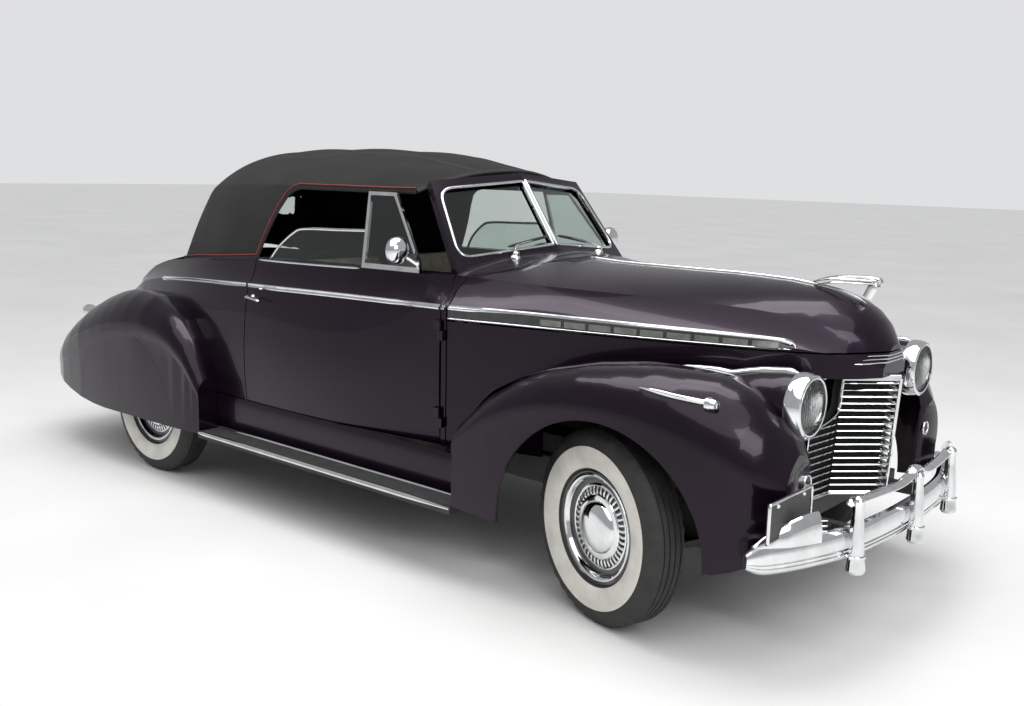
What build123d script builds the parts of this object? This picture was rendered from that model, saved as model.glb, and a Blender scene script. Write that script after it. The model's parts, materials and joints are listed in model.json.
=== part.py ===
from build123d import *
import math
import os

# A convertible car of about 1940 with its fabric top up, as separate panels and real joints.
# Lengths are millimetres. While modelling, X is 0 at the front axle and points forward, Y points left and
# Z is up from the ground. Every piece is moved by FRONT_AXLE_X when it is written, so that the finished part
# has its origin on the ground at the middle of its overall length.

# Overall sizes
OVERALL_LENGTH = 4895.0
FRONT_OVERHANG = 835.0
WHEELBASE = 2870.0
FRONT_TRACK = 1460.0
REAR_TRACK = 1500.0
FRONT_AXLE_X = OVERALL_LENGTH / 2 - FRONT_OVERHANG
REAR_AXLE_X = -WHEELBASE
REAR_END_X = FRONT_OVERHANG - OVERALL_LENGTH

# Wheels and tyres
TYRE_RADIUS = 355.0
TYRE_WIDTH = 160.0
RIM_RADIUS = 205.0
SPINDLE_RADIUS = 22.0
BEARING_CLEARANCE = 0.05
AXLE_HEIGHT = TYRE_RADIUS

# Steering
KINGPIN_Y = 620.0
KINGPIN_RADIUS = 17.0
STEERING_ARM = 190.0
STEERING_REST_DEG = -17.5
TIE_ROD_Z = 245.0
TIE_ROD_RADIUS = 12.0
TIE_ROD_EYE_RADIUS = 17.0

# Sheet and panel thicknesses and gaps
WALL = 55.0
HOOD_SKIN = 9.0
FENDER_SKIN = 12.0
TOP_SKIN = 16.0
FLOOR_THICKNESS = 30.0
PANEL_GAP = 6.0
GLASS = 6.0
SEAT_GAP = 0.4

# Body levels
FLOOR_Z = 452.0
SILL_Z = 1190.0
STRIP_Z = 1004.0
ARCH_CLEAR_Z = 795.0

# Doors
DOOR_FRONT_X = -903.0
DOOR_REAR_X = -2115.0
DOOR_BOTTOM_Z = 490.0
DOOR_SILL_FRONT_Z = 1178.0
DOOR_SILL_REAR_Z = 1164.0

# Hinges: barrels and pins, and where their axes run
BARREL_RADIUS = 8.0
HINGE_PIN_RADIUS = 4.0
HINGE_LEAF = 30.0
POST_LEAF = 22.0
DOOR_HINGE_AT = (-900.0, -712.0)
DOOR_HINGE_ZS = (600.0, 960.0)
DOOR_HINGE_HALF = 40.0
HOOD_HINGE_X = -880.0
HOOD_HINGE_Z = 1165.0
HOOD_HINGE_Y = 560.0
HOOD_ARM_HALF = 7.0
LID_HINGE_X = -3287.0
LID_HINGE_Z = 1086.0
LID_HINGE_YS = (-215.0, 215.0)
LID_HINGE_HALF = 20.0

# Boot lid
LID_FRONT_X = -3290.0
LID_REAR_X = -3850.0
LID_HALF_WIDTH = 330.0
LID_REAR_HALF_WIDTH = 260.0
LID_GAP = 10.0
LID_THICKNESS = 26.0

# Sections are filled in between the tabled ones about this far apart, with straight runs between them
SECTION_STEP = 120.0

# Columns: x, half width at the floor, at mid height, at the belt, belt height, half width and height
# at the window sill, height of the crown
BODY_SECTIONS = [
    (-880, 690, 702, 698, 1051, 616, 1177, 1256),
    (-1500, 756, 772, 738, 1050, 690, 1192, 1260),
    (-2115, 762, 778, 748, 1040, 700, 1170, 1240),
    (-2700, 715, 738, 700, 1010, 640, 1130, 1215),
    (-3130, 625, 645, 600, 975, 530, 1070, 1120),
    (-3500, 515, 535, 490, 900, 425, 975, 1010),
    (-3760, 425, 440, 400, 780, 345, 840, 866),
    (-3880, 370, 380, 345, 660, 300, 705, 722),
]
BODY_MID_SHARE = 0.46

# Columns: x, half width at the lower edge, at the side strip, strip height, half width and height of the
# shoulder, height of the crown
HOOD_SECTIONS = [
    (-1010, 713, 714, 1052, 638, 1181, 1259),
    (-880, 694, 698, 1051, 616, 1177, 1256),
    (-640, 643, 640, 1046, 520, 1160, 1232),
    (-200, 540, 535, 1040, 425, 1150, 1226),
    (150, 448, 438, 1032, 340, 1140, 1224),
    (400, 365, 352, 1020, 262, 1118, 1204),
    (540, 290, 272, 1002, 196, 1086, 1168),
    (630, 208, 186, 976, 130, 1036, 1104),
    (680, 120, 100, 946, 68, 982, 1022),
]
HOOD_BASE_Z = 470.0

# Columns: x, inner edge, outer edge, bottom, top of the upright side, crest y, crest z, inner edge z
FRONT_FENDER_SECTIONS = [
    (-660, 615, 884, 315, 520, 826, 640, 600),
    (-500, 580, 891, 315, 640, 812, 790, 720),
    (-260, 520, 894, 315, 740, 790, 898, 830),
    (40, 445, 892, 315, 780, 715, 950, 890),
    (280, 385, 878, 315, 760, 645, 952, 900),
    (450, 350, 840, 330, 690, 590, 910, 860),
    (560, 430, 780, 370, 600, 592, 830, 770),
    (625, 525, 692, 420, 520, 612, 720, 670),
]
REAR_FENDER_SECTIONS = [
    (-2345, 720, 884, 300, 470, 850, 560, 540),
    (-2450, 712, 897, 300, 610, 842, 745, 720),
    (-2650, 690, 908, 300, 710, 822, 880, 860),
    (-2950, 640, 914, 300, 706, 790, 938, 915),
    (-3300, 550, 906, 300, 618, 745, 880, 866),
    (-3600, 445, 880, 336, 516, 705, 750, 735),
    (-3800, 385, 832, 384, 446, 670, 622, 604),
    (-3920, 400, 744, 416, 434, 640, 520, 510),
]

# Columns: x, half width at the bottom, bottom height, half width and height of the shoulder, crown height
TOP_SECTIONS = [
    (-1080, 612, 1040, 560, 1490, 1590),
    (-1500, 676, 1040, 606, 1515, 1668),
    (-1950, 704, 1040, 614, 1510, 1690),
    (-2400, 690, 1040, 590, 1498, 1684),
    (-2700, 622, 1040, 508, 1480, 1658),
    (-2890, 556, 1040, 434, 1400, 1588),
    (-3020, 500, 1040, 376, 1275, 1436),
    (-3144, 436, 1000, 318, 1110, 1150),
]

# Rear window in the fabric top: x, y and z limits
REAR_WINDOW = (-2800.0, -3150.0, -270.0, 270.0, 1300.0, 1425.0)

# Windscreen: base centre, sweep of the base to its corner, rake of the centre line
SCREEN_BASE = Vector(-884, 0, 1266)
SCREEN_SWEEP = Vector(-73, -560, -44)
SCREEN_RAKE = Vector(-211, 0, 296)
SCREEN_WIDTH = 566.0
SCREEN_HEIGHT = 346.0
SCREEN_FRAME = 38.0
SCREEN_DEPTH = 36.0

# Grille: columns: half width, distance behind the prow tip
GRILLE_TOP_Z = 905.0
GRILLE_BOTTOM_Z = 474.0
GRILLE_WING_TOP_Z = 742.0
GRILLE_BARS = 17
GRILLE_CAP = 8.0
GRILLE_BAR_HEIGHT = 9.0
GRILLE_BAR_DEPTH = 16.0
PROW_TIP_TOP_X = 704.0
PROW_TIP_BOTTOM_X = 680.0
PROW_HALF_WIDTH = 150.0
PROW_DEPTH = 146.0
WING_HALF_WIDTH = 345.0
WING_DEPTH = 164.0

# Lamps
LAMP_Y = 505.0
LAMP_Z = 858.0
LAMP_FACE_X = 604.0
LAMP_LENS_RADIUS = 93.0
LAMP_BEZEL_RADIUS = 108.0

# Bumpers
BUMPER_Z = 412.0
BUMPER_HEIGHT = 110.0
BUMPER_DEPTH = 40.0
GUARD_Y = 450.0

solids = {}


def keep(name, *shapes):
    """File shapes under a node name, each of them as one or more solids."""
    found = [s for shape in shapes for s in shape.solids()]
    solids.setdefault(name, []).extend(found)


def both_sides(shape):
    """A shape made on the right side, with its mirror image on the left."""
    return [shape, mirror(shape, about=Plane.XZ)]


def block(x0, x1, y0, y1, z0, z1):
    """A box between two corners."""
    centre = ((x0 + x1) / 2, (y0 + y1) / 2, (z0 + z1) / 2)
    return Pos(*centre) * Box(abs(x1 - x0), abs(y1 - y0), abs(z1 - z0))


def rod(start, end, radius):
    """A round bar between two points."""
    a, b = Vector(*start), Vector(*end)
    return Solid.make_cylinder(radius, (b - a).length, Plane(origin=a, z_dir=b - a))


def side_prism(points, y0, y1):
    """A side-view outline of (x, z) points, extruded from y0 to y1."""
    outline = Wire.make_polygon([(x, y0, z) for x, z in points])
    return extrude(Face(outline), amount=y1 - y0, dir=(0, 1, 0))


def plan_prism(points, z0, z1):
    """A plan outline of (x, y) points, extruded from z0 to z1."""
    outline = Wire.make_polygon([(x, y, z0) for x, y in points])
    return extrude(Face(outline), amount=z1 - z0, dir=(0, 0, 1))


def turned(points, origin, direction):
    """A closed (radius, along) outline turned about an axis through origin."""
    axis = Vector(*direction)
    corners = [Vector(*origin) + Vector(0, 0, 1) * r + axis * a for r, a in points]
    face = Face(Wire.make_polygon(corners))
    return revolve(face, axis=Axis(origin, direction))


def bulged(a, b, bulge):
    """The middle of a line from a to b in a section plane, pushed out by bulge, for a three-point arc."""
    (ya, za), (yb, zb) = a, b
    length = math.hypot(yb - ya, zb - za)
    return ((ya + yb) / 2 + (zb - za) / length * bulge, (za + zb) / 2 - (yb - ya) / length * bulge)


def section_wire(x, steps):
    """A closed wire at x from steps (y, z) or (y, z, via_y, via_z), an arc through via to that point."""
    edges = []
    here = steps[-1][:2]
    for step in steps:
        there = step[:2]
        if len(step) == 2:
            edges.append(Edge.make_line((x, *here), (x, *there)))
        else:
            edges.append(Edge.make_three_point_arc((x, *here), (x, *step[2:]), (x, *there)))
        here = there
    return Wire(edges)


def body_wire(row, inset, drop):
    """One section of the body tub. inset is the wall taken off all round, drop lowers the floor line."""
    x, w_floor, w_mid, w_belt, z_belt, w_sill, z_sill, z_crown = row
    z_floor = FLOOR_Z - drop
    wf, wm, wb, ws = w_floor - inset, w_mid - inset, w_belt - inset, w_sill - inset
    zs, zc = z_sill - inset * 0.5, z_crown - inset
    z_mid = z_floor + (z_belt - z_floor) * BODY_MID_SHARE
    shoulder = bulged((-ws, zs), (-wb, z_belt), -14)
    return section_wire(x, [
        (wf, z_floor),
        (wb, z_belt, wm, z_mid),
        (ws, zs, -shoulder[0], shoulder[1]),
        (-ws, zs, 0, zc),
        (-wb, z_belt, *shoulder),
        (-wf, z_floor, -wm, z_mid),
    ])


def hood_wire(row, inset, drop):
    """One arch section of the hood and its side panels."""
    x, w_base, w_strip, z_strip, w_sh, z_sh, z_crown = row
    wb, wt, ws = w_base - inset, w_strip - inset, w_sh - inset * 0.8
    zs, zc, z0 = z_sh - inset * 0.8, z_crown - inset, HOOD_BASE_Z - drop
    shoulder = bulged((-ws, zs), (-wt, z_strip), -0.12 * (wt - ws))
    return section_wire(x, [
        (wb, z0),
        (wt, z_strip),
        (ws, zs, -shoulder[0], shoulder[1]),
        (-ws, zs, 0, zc),
        (-wt, z_strip, *shoulder),
        (-wb, z0),
    ])


def fender_wire(row, inset, open_in, drop):
    """One section of a right-hand fender: upright outer side, round crest, inner edge towards the body."""
    x, y_in, y_out, z_bottom, z_side, y_crest, z_crest, z_in = row
    yo, yi = -(y_out - inset), -(y_in - open_in)
    zt, zi, zb = z_crest - inset, z_in - inset, z_bottom - drop
    yc = -y_crest
    outer = ((yo * 0.79 + yc * 0.21), z_side + (zt - z_side) * 0.70)
    inner = ((yi + yc) / 2, max(zi, zt) - abs(zt - zi) * 0.30)
    return section_wire(x, [
        (yi, zb),
        (yo, zb),
        (yo, z_side),
        (yc, zt, *outer),
        (yi, zi, *inner),
    ])


def top_wire(row, inset, drop):
    """One arch section of the fabric top."""
    x, w_bottom, z_bottom, w_sh, z_sh, z_crown = row
    wb, ws = w_bottom - inset, w_sh - inset * 0.8
    zs, zc, z0 = z_sh - inset * 0.5, z_crown - inset, z_bottom - drop
    side = bulged((-ws, zs), (-wb, z0), -26)
    return section_wire(x, [
        (wb, z0),
        (ws, zs, -side[0], side[1]),
        (-ws, zs, 0, zc),
        (-wb, z0, *side),
    ])


def slope(before, here, after, column):
    """The slope along x of one column at a row, from the rows on either side of it."""
    rise, run = after[column] - before[column], after[0] - before[0]
    if here[0] in (before[0], after[0]):
        return rise / run
    ahead = (after[column] - here[column]) / (after[0] - here[0])
    behind = (here[column] - before[column]) / (here[0] - before[0])
    share = (here[0] - before[0]) / run
    return ahead * share + behind * (1 - share)


def filled(rows):
    """The tabled rows with more between them on a smooth curve, so that straight runs follow the curve."""
    found = [rows[0]]
    last = len(rows) - 1
    for n in range(last):
        before, here, there, after = rows[max(n - 1, 0)], rows[n], rows[n + 1], rows[min(n + 2, last)]
        run = there[0] - here[0]
        count = max(2, round(abs(run) / SECTION_STEP))
        for k in range(1, count + 1):
            t = k / count
            row = [here[0] + run * t]
            for column in range(1, len(here)):
                leave = slope(before, here, there, column) * run
                arrive = slope(here, there, after, column) * run
                value = here[column] * (1 + 2 * t) * (1 - t) ** 2 + leave * t * (1 - t) ** 2
                value += there[column] * t * t * (3 - 2 * t) - arrive * t * t * (1 - t)
                row.append(value)
            found.append(tuple(row))
    return found


def ruled(rows, wire, settings):
    """A solid with straight runs from each section to the next."""
    return Solid.make_loft([wire(row, *settings) for row in rows], True)


def shell_of(rows, wire, outer, inner, extend):
    """A lofted skin: the outer loft, and the inner loft with its end rows moved past the ends by extend."""
    first, last = extend
    all_rows = filled(rows)
    inner_rows = [list(row) for row in all_rows]
    inner_rows[0][0] += first
    inner_rows[-1][0] += last
    return ruled(all_rows, wire, outer), ruled(inner_rows, wire, inner)


# Body tub, cut into floor, cowl, doors, rear body and boot lid
WALL_BASE_Z = FLOOR_Z + FLOOR_THICKNESS
body_outer, body_inner = shell_of(BODY_SECTIONS, body_wire, (0, 0), (WALL, 30), (40, WALL))

TUB_RADIUS = TYRE_RADIUS + 45
TUB_INNER_Y = REAR_TRACK / 2 - TYRE_WIDTH / 2 - 40


def rear_tub(radius, y_end):
    """The right-hand wheel tub as a round plug from outside the car to y_end."""
    return rod((REAR_AXLE_X, -1000, AXLE_HEIGHT), (REAR_AXLE_X, -y_end, AXLE_HEIGHT), radius)


seam_right = [(-690, 0), (-712, -250), (-770, -480), (-872, -640), (-872, -900), (900, -900)]
seam_left = [(x, -y) for x, y in reversed(seam_right)][:-1]
hood_zone = plan_prism(seam_right + seam_left, 500, 1500)
cowl_cut = plan_prism([(x - PANEL_GAP, y) for x, y in seam_right + seam_left], 300, 1500)

FIREWALL_X = -775.0
FIREWALL_THICKNESS = 25.0
FIREWALL_HALF_WIDTH = 580.0
COWL_TOP_REAR_X = -990.0
floor = body_outer & block(FIREWALL_X, -4100, -1000, 1000, FLOOR_Z - 20, WALL_BASE_Z)
for tub in both_sides(rear_tub(TUB_RADIUS, TUB_INNER_Y)):
    floor = floor - tub
keep("floor", floor)

door_front = DOOR_FRONT_X - PANEL_GAP / 2


def door_outline(grow):
    """The door's outline from the side, grown by a gap."""
    low, front, rear = DOOR_BOTTOM_Z - grow, door_front + grow, DOOR_REAR_X - grow
    return [(front, low), (rear, low), (rear, DOOR_SILL_REAR_Z + grow), (front, DOOR_SILL_FRONT_Z + grow)]


door_plan = [(0, -1000), (0, -500), (DOOR_FRONT_X, -556), (DOOR_REAR_X, -630), (-4000, -630), (-4000, -1000)]
door_right = (body_outer & side_prism(door_outline(0), -1000, -400) & plan_prism(door_plan, 300, 1500)) - body_inner
hinge_x, hinge_y = DOOR_HINGE_AT
door_leafs = []
for z in DOOR_HINGE_ZS:
    upper = block(hinge_x - HINGE_LEAF, hinge_x - 6, hinge_y - 6, hinge_y + 20, z + 1, z + DOOR_HINGE_HALF)
    upper = upper + block(hinge_x - 10, hinge_x, hinge_y - 6, hinge_y + 5, z + 1, z + DOOR_HINGE_HALF)
    knuckle_ring = rod((hinge_x, hinge_y, z + 1), (hinge_x, hinge_y, z + DOOR_HINGE_HALF), BARREL_RADIUS)
    bore = rod((hinge_x, hinge_y, z), (hinge_x, hinge_y, z + 100), HINGE_PIN_RADIUS + BEARING_CLEARANCE)
    door_right = door_right + upper + knuckle_ring - bore
    lower = block(hinge_x, hinge_x + POST_LEAF, hinge_y - 6, hinge_y + 24, z - DOOR_HINGE_HALF, z - 1)
    barrel = rod((hinge_x, hinge_y, z - DOOR_HINGE_HALF), (hinge_x, hinge_y, z - 1), BARREL_RADIUS)
    pin = rod((hinge_x, hinge_y, z - DOOR_HINGE_HALF), (hinge_x, hinge_y, z + DOOR_HINGE_HALF), HINGE_PIN_RADIUS)
    door_leafs.append(lower + barrel + pin)
keep("door_right", door_right)
keep("door_left", mirror(door_right, about=Plane.XZ))

BULKHEAD_X = -3150.0
BULKHEAD_THICKNESS = 25.0
SILL_MID = (-2700, 1118)
SILL_END_Z = 1068.0
rear_outline = [(DOOR_REAR_X - PANEL_GAP, WALL_BASE_Z), (DOOR_REAR_X - PANEL_GAP, DOOR_SILL_REAR_Z), SILL_MID,
                (BULKHEAD_X, SILL_END_Z), (BULKHEAD_X, 1500), (-4100, 1500), (-4100, WALL_BASE_Z)]
rear_hollow_body = body_inner - block(BULKHEAD_X, BULKHEAD_X - BULKHEAD_THICKNESS, -1000, 1000, 0, 1500)
for plug in both_sides(rear_tub(TUB_RADIUS + FENDER_SKIN, TUB_INNER_Y - FENDER_SKIN)):
    rear_hollow_body = rear_hollow_body - plug
rear_skin = (body_outer & side_prism(rear_outline, -1000, 1000)) - rear_hollow_body
DECK_OPENING = [(-2000, 620), (-2700, 570), (-3090, 390)]
deck_plan = DECK_OPENING + [(x, -y) for x, y in reversed(DECK_OPENING)]
rear_skin = rear_skin - plan_prism(deck_plan, 1000, 1500)
for tub in both_sides(rear_tub(TUB_RADIUS, TUB_INNER_Y)):
    rear_skin = rear_skin - tub


def lid_plan(grow):
    """The boot lid's outline from above, grown by a gap."""
    front, rear = LID_FRONT_X + grow, LID_REAR_X - grow
    wide, narrow = LID_HALF_WIDTH + grow, LID_REAR_HALF_WIDTH + grow
    return [(front, -wide), (front, wide), (rear, narrow), (rear, -narrow)]


lid_inner = ruled(filled(BODY_SECTIONS), body_wire, (LID_THICKNESS, 30))
boot_lid = (body_outer & plan_prism(lid_plan(0), 600, 1500)) - lid_inner
rear_skin = rear_skin - plan_prism(lid_plan(LID_GAP), 600, 1500)
for y in LID_HINGE_YS:
    low, high = y - LID_HINGE_HALF, y + LID_HINGE_HALF
    knuckle_ring = rod((LID_HINGE_X, y + 1, LID_HINGE_Z), (LID_HINGE_X, high, LID_HINGE_Z), BARREL_RADIUS)
    bore = rod((LID_HINGE_X, y, LID_HINGE_Z), (LID_HINGE_X, high + 50, LID_HINGE_Z), HINGE_PIN_RADIUS + BEARING_CLEARANCE)
    lid_leaf = block(LID_HINGE_X - HINGE_LEAF, LID_HINGE_X, y + 1, high, LID_HINGE_Z - 5, LID_HINGE_Z + 6)
    lid_foot = block(LID_HINGE_X - HINGE_LEAF, LID_HINGE_X - 12, y + 1, high, LID_HINGE_Z - 40, LID_HINGE_Z)
    boot_lid = boot_lid + lid_leaf + lid_foot + knuckle_ring - bore
    barrel = rod((LID_HINGE_X, low, LID_HINGE_Z), (LID_HINGE_X, y - 1, LID_HINGE_Z), BARREL_RADIUS)
    pin = rod((LID_HINGE_X, low, LID_HINGE_Z), (LID_HINGE_X, high, LID_HINGE_Z), HINGE_PIN_RADIUS)
    body_leaf = block(LID_HINGE_X, LID_HINGE_X + HINGE_LEAF, low, y - 1, LID_HINGE_Z - 5, LID_HINGE_Z + 6)
    body_foot = block(LID_HINGE_X + 16, LID_HINGE_X + HINGE_LEAF, low, y - 1, LID_HINGE_Z - 40, LID_HINGE_Z)
    rear_skin = rear_skin + body_leaf + body_foot + barrel + pin
keep("boot_lid", boot_lid)
keep("rear_body", rear_skin)

# Hood, its fixed side panels and the cowl behind them, all from one loft
hood_outer, hood_inner = shell_of(HOOD_SECTIONS, hood_wire, (0, 0), (HOOD_SKIN, 40), (-20, -HOOD_SKIN))
hood_skin = (hood_outer & hood_zone) - hood_inner
hood = hood_skin & block(-1000, 900, -1000, 1000, STRIP_Z, 1400)
# Gooseneck arms dip under the cowl's edge from the hinge pin to the hood; points are set off from the pin
HOOD_ARM = [(-8, -6), (34, -54), (81, -54), (81, 22), (65, 22), (65, -38), (44, -38), (8, 6)]
arm_outline = [(HOOD_HINGE_X + x, HOOD_HINGE_Z + z) for x, z in HOOD_ARM]
arm_y = (-HOOD_HINGE_Y - HOOD_ARM_HALF, -HOOD_HINGE_Y + HOOD_ARM_HALF)
hood_arm = side_prism(arm_outline, *arm_y) & hood_outer
hood_arm = hood_arm + rod((HOOD_HINGE_X, arm_y[0], HOOD_HINGE_Z), (HOOD_HINGE_X, arm_y[1], HOOD_HINGE_Z), 11)
hood_pin = rod((HOOD_HINGE_X, -HOOD_HINGE_Y - 24, HOOD_HINGE_Z), (HOOD_HINGE_X, -HOOD_HINGE_Y + 24, HOOD_HINGE_Z), 6)
hood_arm = hood_arm - rod((HOOD_HINGE_X, -900, HOOD_HINGE_Z), (HOOD_HINGE_X, 0, HOOD_HINGE_Z), 6 + BEARING_CLEARANCE)
hinge_pocket = block(-905, -800, -HOOD_HINGE_Y - 14, -HOOD_HINGE_Y + 14, 1000, HOOD_HINGE_Z + 15)
for arm in both_sides(hood_arm):
    hood = hood + arm
keep("hood", hood)
panel_outline = [(-1000, STRIP_Z - PANEL_GAP), (-1000, WALL_BASE_Z), (-448, WALL_BASE_Z), (-448, ARCH_CLEAR_Z),
                 (450, ARCH_CLEAR_Z), (480, GRILLE_TOP_Z + GRILLE_CAP + SEAT_GAP),
                 (900, GRILLE_TOP_Z + GRILLE_CAP + SEAT_GAP), (900, STRIP_Z - PANEL_GAP)]
keep("front_panels", hood_skin & side_prism(panel_outline, -1000, 1000))

COWL_FRONT_X = -633.0
cowl_rows = [row for row in filled(HOOD_SECTIONS) if row[0] < COWL_FRONT_X + 2 * SECTION_STEP]
cowl_rows[0] = (HOOD_SECTIONS[0][0] - 40, *HOOD_SECTIONS[0][1:])
cowl_inner = ruled(cowl_rows, hood_wire, (WALL, 40))
firewall_block = block(FIREWALL_X, FIREWALL_X - FIREWALL_THICKNESS, -FIREWALL_HALF_WIDTH, FIREWALL_HALF_WIDTH, 0, 1500)
cowl = hood_outer & block(COWL_FRONT_X, COWL_TOP_REAR_X, -1000, 1000, WALL_BASE_Z, 1500)
cowl = cowl - (cowl_inner - firewall_block) - (cowl_cut - cowl_inner)
hinge_post_x = door_front + PANEL_GAP
for side in both_sides(plan_prism([(hinge_post_x, -1000), (hinge_post_x, -552), (-1200, -552), (-1200, -1000)], 0, 1500)):
    cowl = cowl - side

# Windscreen frame on the cowl, and its two flat panes
sweep_dir = SCREEN_SWEEP.normalized()
screen_normal = sweep_dir.cross(SCREEN_RAKE).normalized()
screen_plane = Plane(origin=SCREEN_BASE, x_dir=sweep_dir, z_dir=screen_normal)


def screen_slab(u0, u1, v0, v1, thickness, taper):
    """A slab in the plane of the right-hand pane, from u0 to u1 outwards and v0 to v1 upwards."""
    points = [(u0, v0), (u1, v0), (u1 - taper, v1), (u0, v1)]
    corners = [screen_plane.from_local_coords(Vector(u, v, 0)) for u, v in points]
    face = Face(Wire.make_polygon(corners))
    return extrude(face, amount=thickness / 2, dir=screen_normal, both=True)


pane_taper = 66.0
frame_right = screen_slab(-60, SCREEN_WIDTH + SCREEN_FRAME, -90, SCREEN_HEIGHT + SCREEN_FRAME, SCREEN_DEPTH, pane_taper * 1.3)
frame_right = frame_right - screen_slab(9, SCREEN_WIDTH, 0, SCREEN_HEIGHT, 200, pane_taper)
frame_right = frame_right - block(-2000, 0, 0, 900, 0, 2000)
pane_right = screen_slab(9 + SEAT_GAP, SCREEN_WIDTH - SEAT_GAP, SEAT_GAP, SCREEN_HEIGHT - SEAT_GAP, GLASS, pane_taper)
frame_right = frame_right - side_prism(door_outline(PANEL_GAP), -1000, -400)
for part in both_sides(frame_right):
    cowl = cowl + part
for pocket in both_sides(hinge_pocket):
    cowl = cowl - pocket
for corner in both_sides(block(FIREWALL_X + 1, FIREWALL_X - FIREWALL_THICKNESS - 1, -600, -HOOD_HINGE_Y + 20, 1090, 1300)):
    cowl = cowl - corner
for piece in (*both_sides(hood_pin), *[half for leaf in door_leafs for half in both_sides(leaf)]):
    cowl = cowl + piece
keep("cowl", cowl)
keep("fixed_glass", *both_sides(pane_right))

# Fabric top over the cabin
top_outer, top_inner = shell_of(TOP_SECTIONS, top_wire, (0, 0), (TOP_SKIN, 60), (40, TOP_SKIN))
top_skin = top_outer - top_inner
header_v = [(-1122, 0), (-1226, -620), (-800, -620), (-800, 620), (-1226, 620)]
window_outline = [(-900, 900), (-900, 1503), (-1880, 1503), (-1960, 1470), (-2005, 1400), (-2112, 1160), (-2112, 900)]
top_base = [(-900, 900), (-900, DOOR_SILL_REAR_Z + SEAT_GAP), (DOOR_REAR_X - PANEL_GAP, DOOR_SILL_REAR_Z + SEAT_GAP),
            (SILL_MID[0], SILL_MID[1] + SEAT_GAP), (BULKHEAD_X, SILL_END_Z + SEAT_GAP), (BULKHEAD_X, 900)]
top_skin = top_skin - plan_prism(header_v, 900, 1800)
top_skin = top_skin - side_prism(window_outline, -1000, 1000)
top_skin = top_skin - side_prism(top_base, -1000, 1000)
top_skin = top_skin - block(*REAR_WINDOW)
keep("soft_top", max(top_skin.solids(), key=lambda piece: piece.volume))
pane_outer = ruled(filled(TOP_SECTIONS), top_wire, (TOP_SKIN / 2 - GLASS / 2, 0))
pane_inner = ruled(filled(TOP_SECTIONS), top_wire, (TOP_SKIN / 2 + GLASS / 2, 60))
pane_zone = [end - math.copysign(SEAT_GAP, end - (a + b) / 2) for a, b in
             zip(REAR_WINDOW[0::2], REAR_WINDOW[1::2]) for end in (a, b)]
rear_pane = (pane_outer - pane_inner) & block(*pane_zone)
keep("fixed_glass", *rear_pane.solids())

# Fenders, with lamp nacelles on the front pair and skirts on the rear pair
def fender(rows):
    """A right-hand fender as a solid, and the hollow under its skin, open below and towards the body."""
    skin = math.copysign(FENDER_SKIN, rows[-1][0] - rows[0][0])
    return shell_of(rows, fender_wire, (0, 0, 0), (FENDER_SKIN, 150, 60), (skin, -skin))


fender_outer, fender_hollow = fender(FRONT_FENDER_SECTIONS)
NACELLE = [(0, 130), (46, 190), (82, 300), (104, 430), (111, 520), (106, 590), (0, 590)]
nacelle = turned([(r, x) for r, x in NACELLE], (0, -LAMP_Y, LAMP_Z), (1, 0, 0))
front_arch = rod((0, -1000, AXLE_HEIGHT - 12), (0, -700, AXLE_HEIGHT - 12), 424)
lamp_seat = rod((LAMP_FACE_X - 14, -LAMP_Y, LAMP_Z), (800, -LAMP_Y, LAMP_Z), LAMP_BEZEL_RADIUS + 4)
front_fender = (fender_outer + nacelle) - fender_hollow - front_arch
front_fender = front_fender - hood_outer - lamp_seat
keep("front_fenders", *both_sides(max(front_fender.solids(), key=lambda piece: piece.volume)))
# Catwalk sheets between the nose and the fenders, over the grille's wings
catwalk_top = [(300, 880), (460, 876), (520, 848), (546, 800), (548, GRILLE_WING_TOP_Z + 4)]
catwalk_under = [(536, GRILLE_WING_TOP_Z + 4), (534, 797), (512, 839), (456, 864), (300, 868)]
catwalk = side_prism(catwalk_top + catwalk_under, -420, -PROW_HALF_WIDTH - 12) - hood_outer - fender_outer - nacelle
keep("front_panels", *both_sides(max(catwalk.solids(), key=lambda piece: piece.volume)))

rear_outer, rear_hollow = fender(REAR_FENDER_SECTIONS)
rear_fender = rear_outer - rear_hollow - body_outer
SKIRT_CENTRE = (-3000.0, 300.0)
SKIRT_RADIUS = 440.0
SKIRT_SEAM = 0.8
skirt_zone = rod((SKIRT_CENTRE[0], -1000, SKIRT_CENTRE[1]), (SKIRT_CENTRE[0], -840, SKIRT_CENTRE[1]), SKIRT_RADIUS)
skirt_gap = rod((SKIRT_CENTRE[0], -1000, SKIRT_CENTRE[1]), (SKIRT_CENTRE[0], -840, SKIRT_CENTRE[1]), SKIRT_RADIUS + SKIRT_SEAM)
keep("rear_fenders", *both_sides(rear_fender - skirt_gap), *both_sides(rear_fender & skirt_zone))

# Running boards
BOARD_FRONT_X = FRONT_FENDER_SECTIONS[0][0] - SEAT_GAP
BOARD_REAR_X = -2343.0
board = block(BOARD_FRONT_X, BOARD_REAR_X, -892, -770, 284, 314)
apron = block(BOARD_FRONT_X, BOARD_REAR_X, -770, -750, 284, FLOOR_Z - SEAT_GAP)
keep("running_boards", *both_sides(board + apron))

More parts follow.
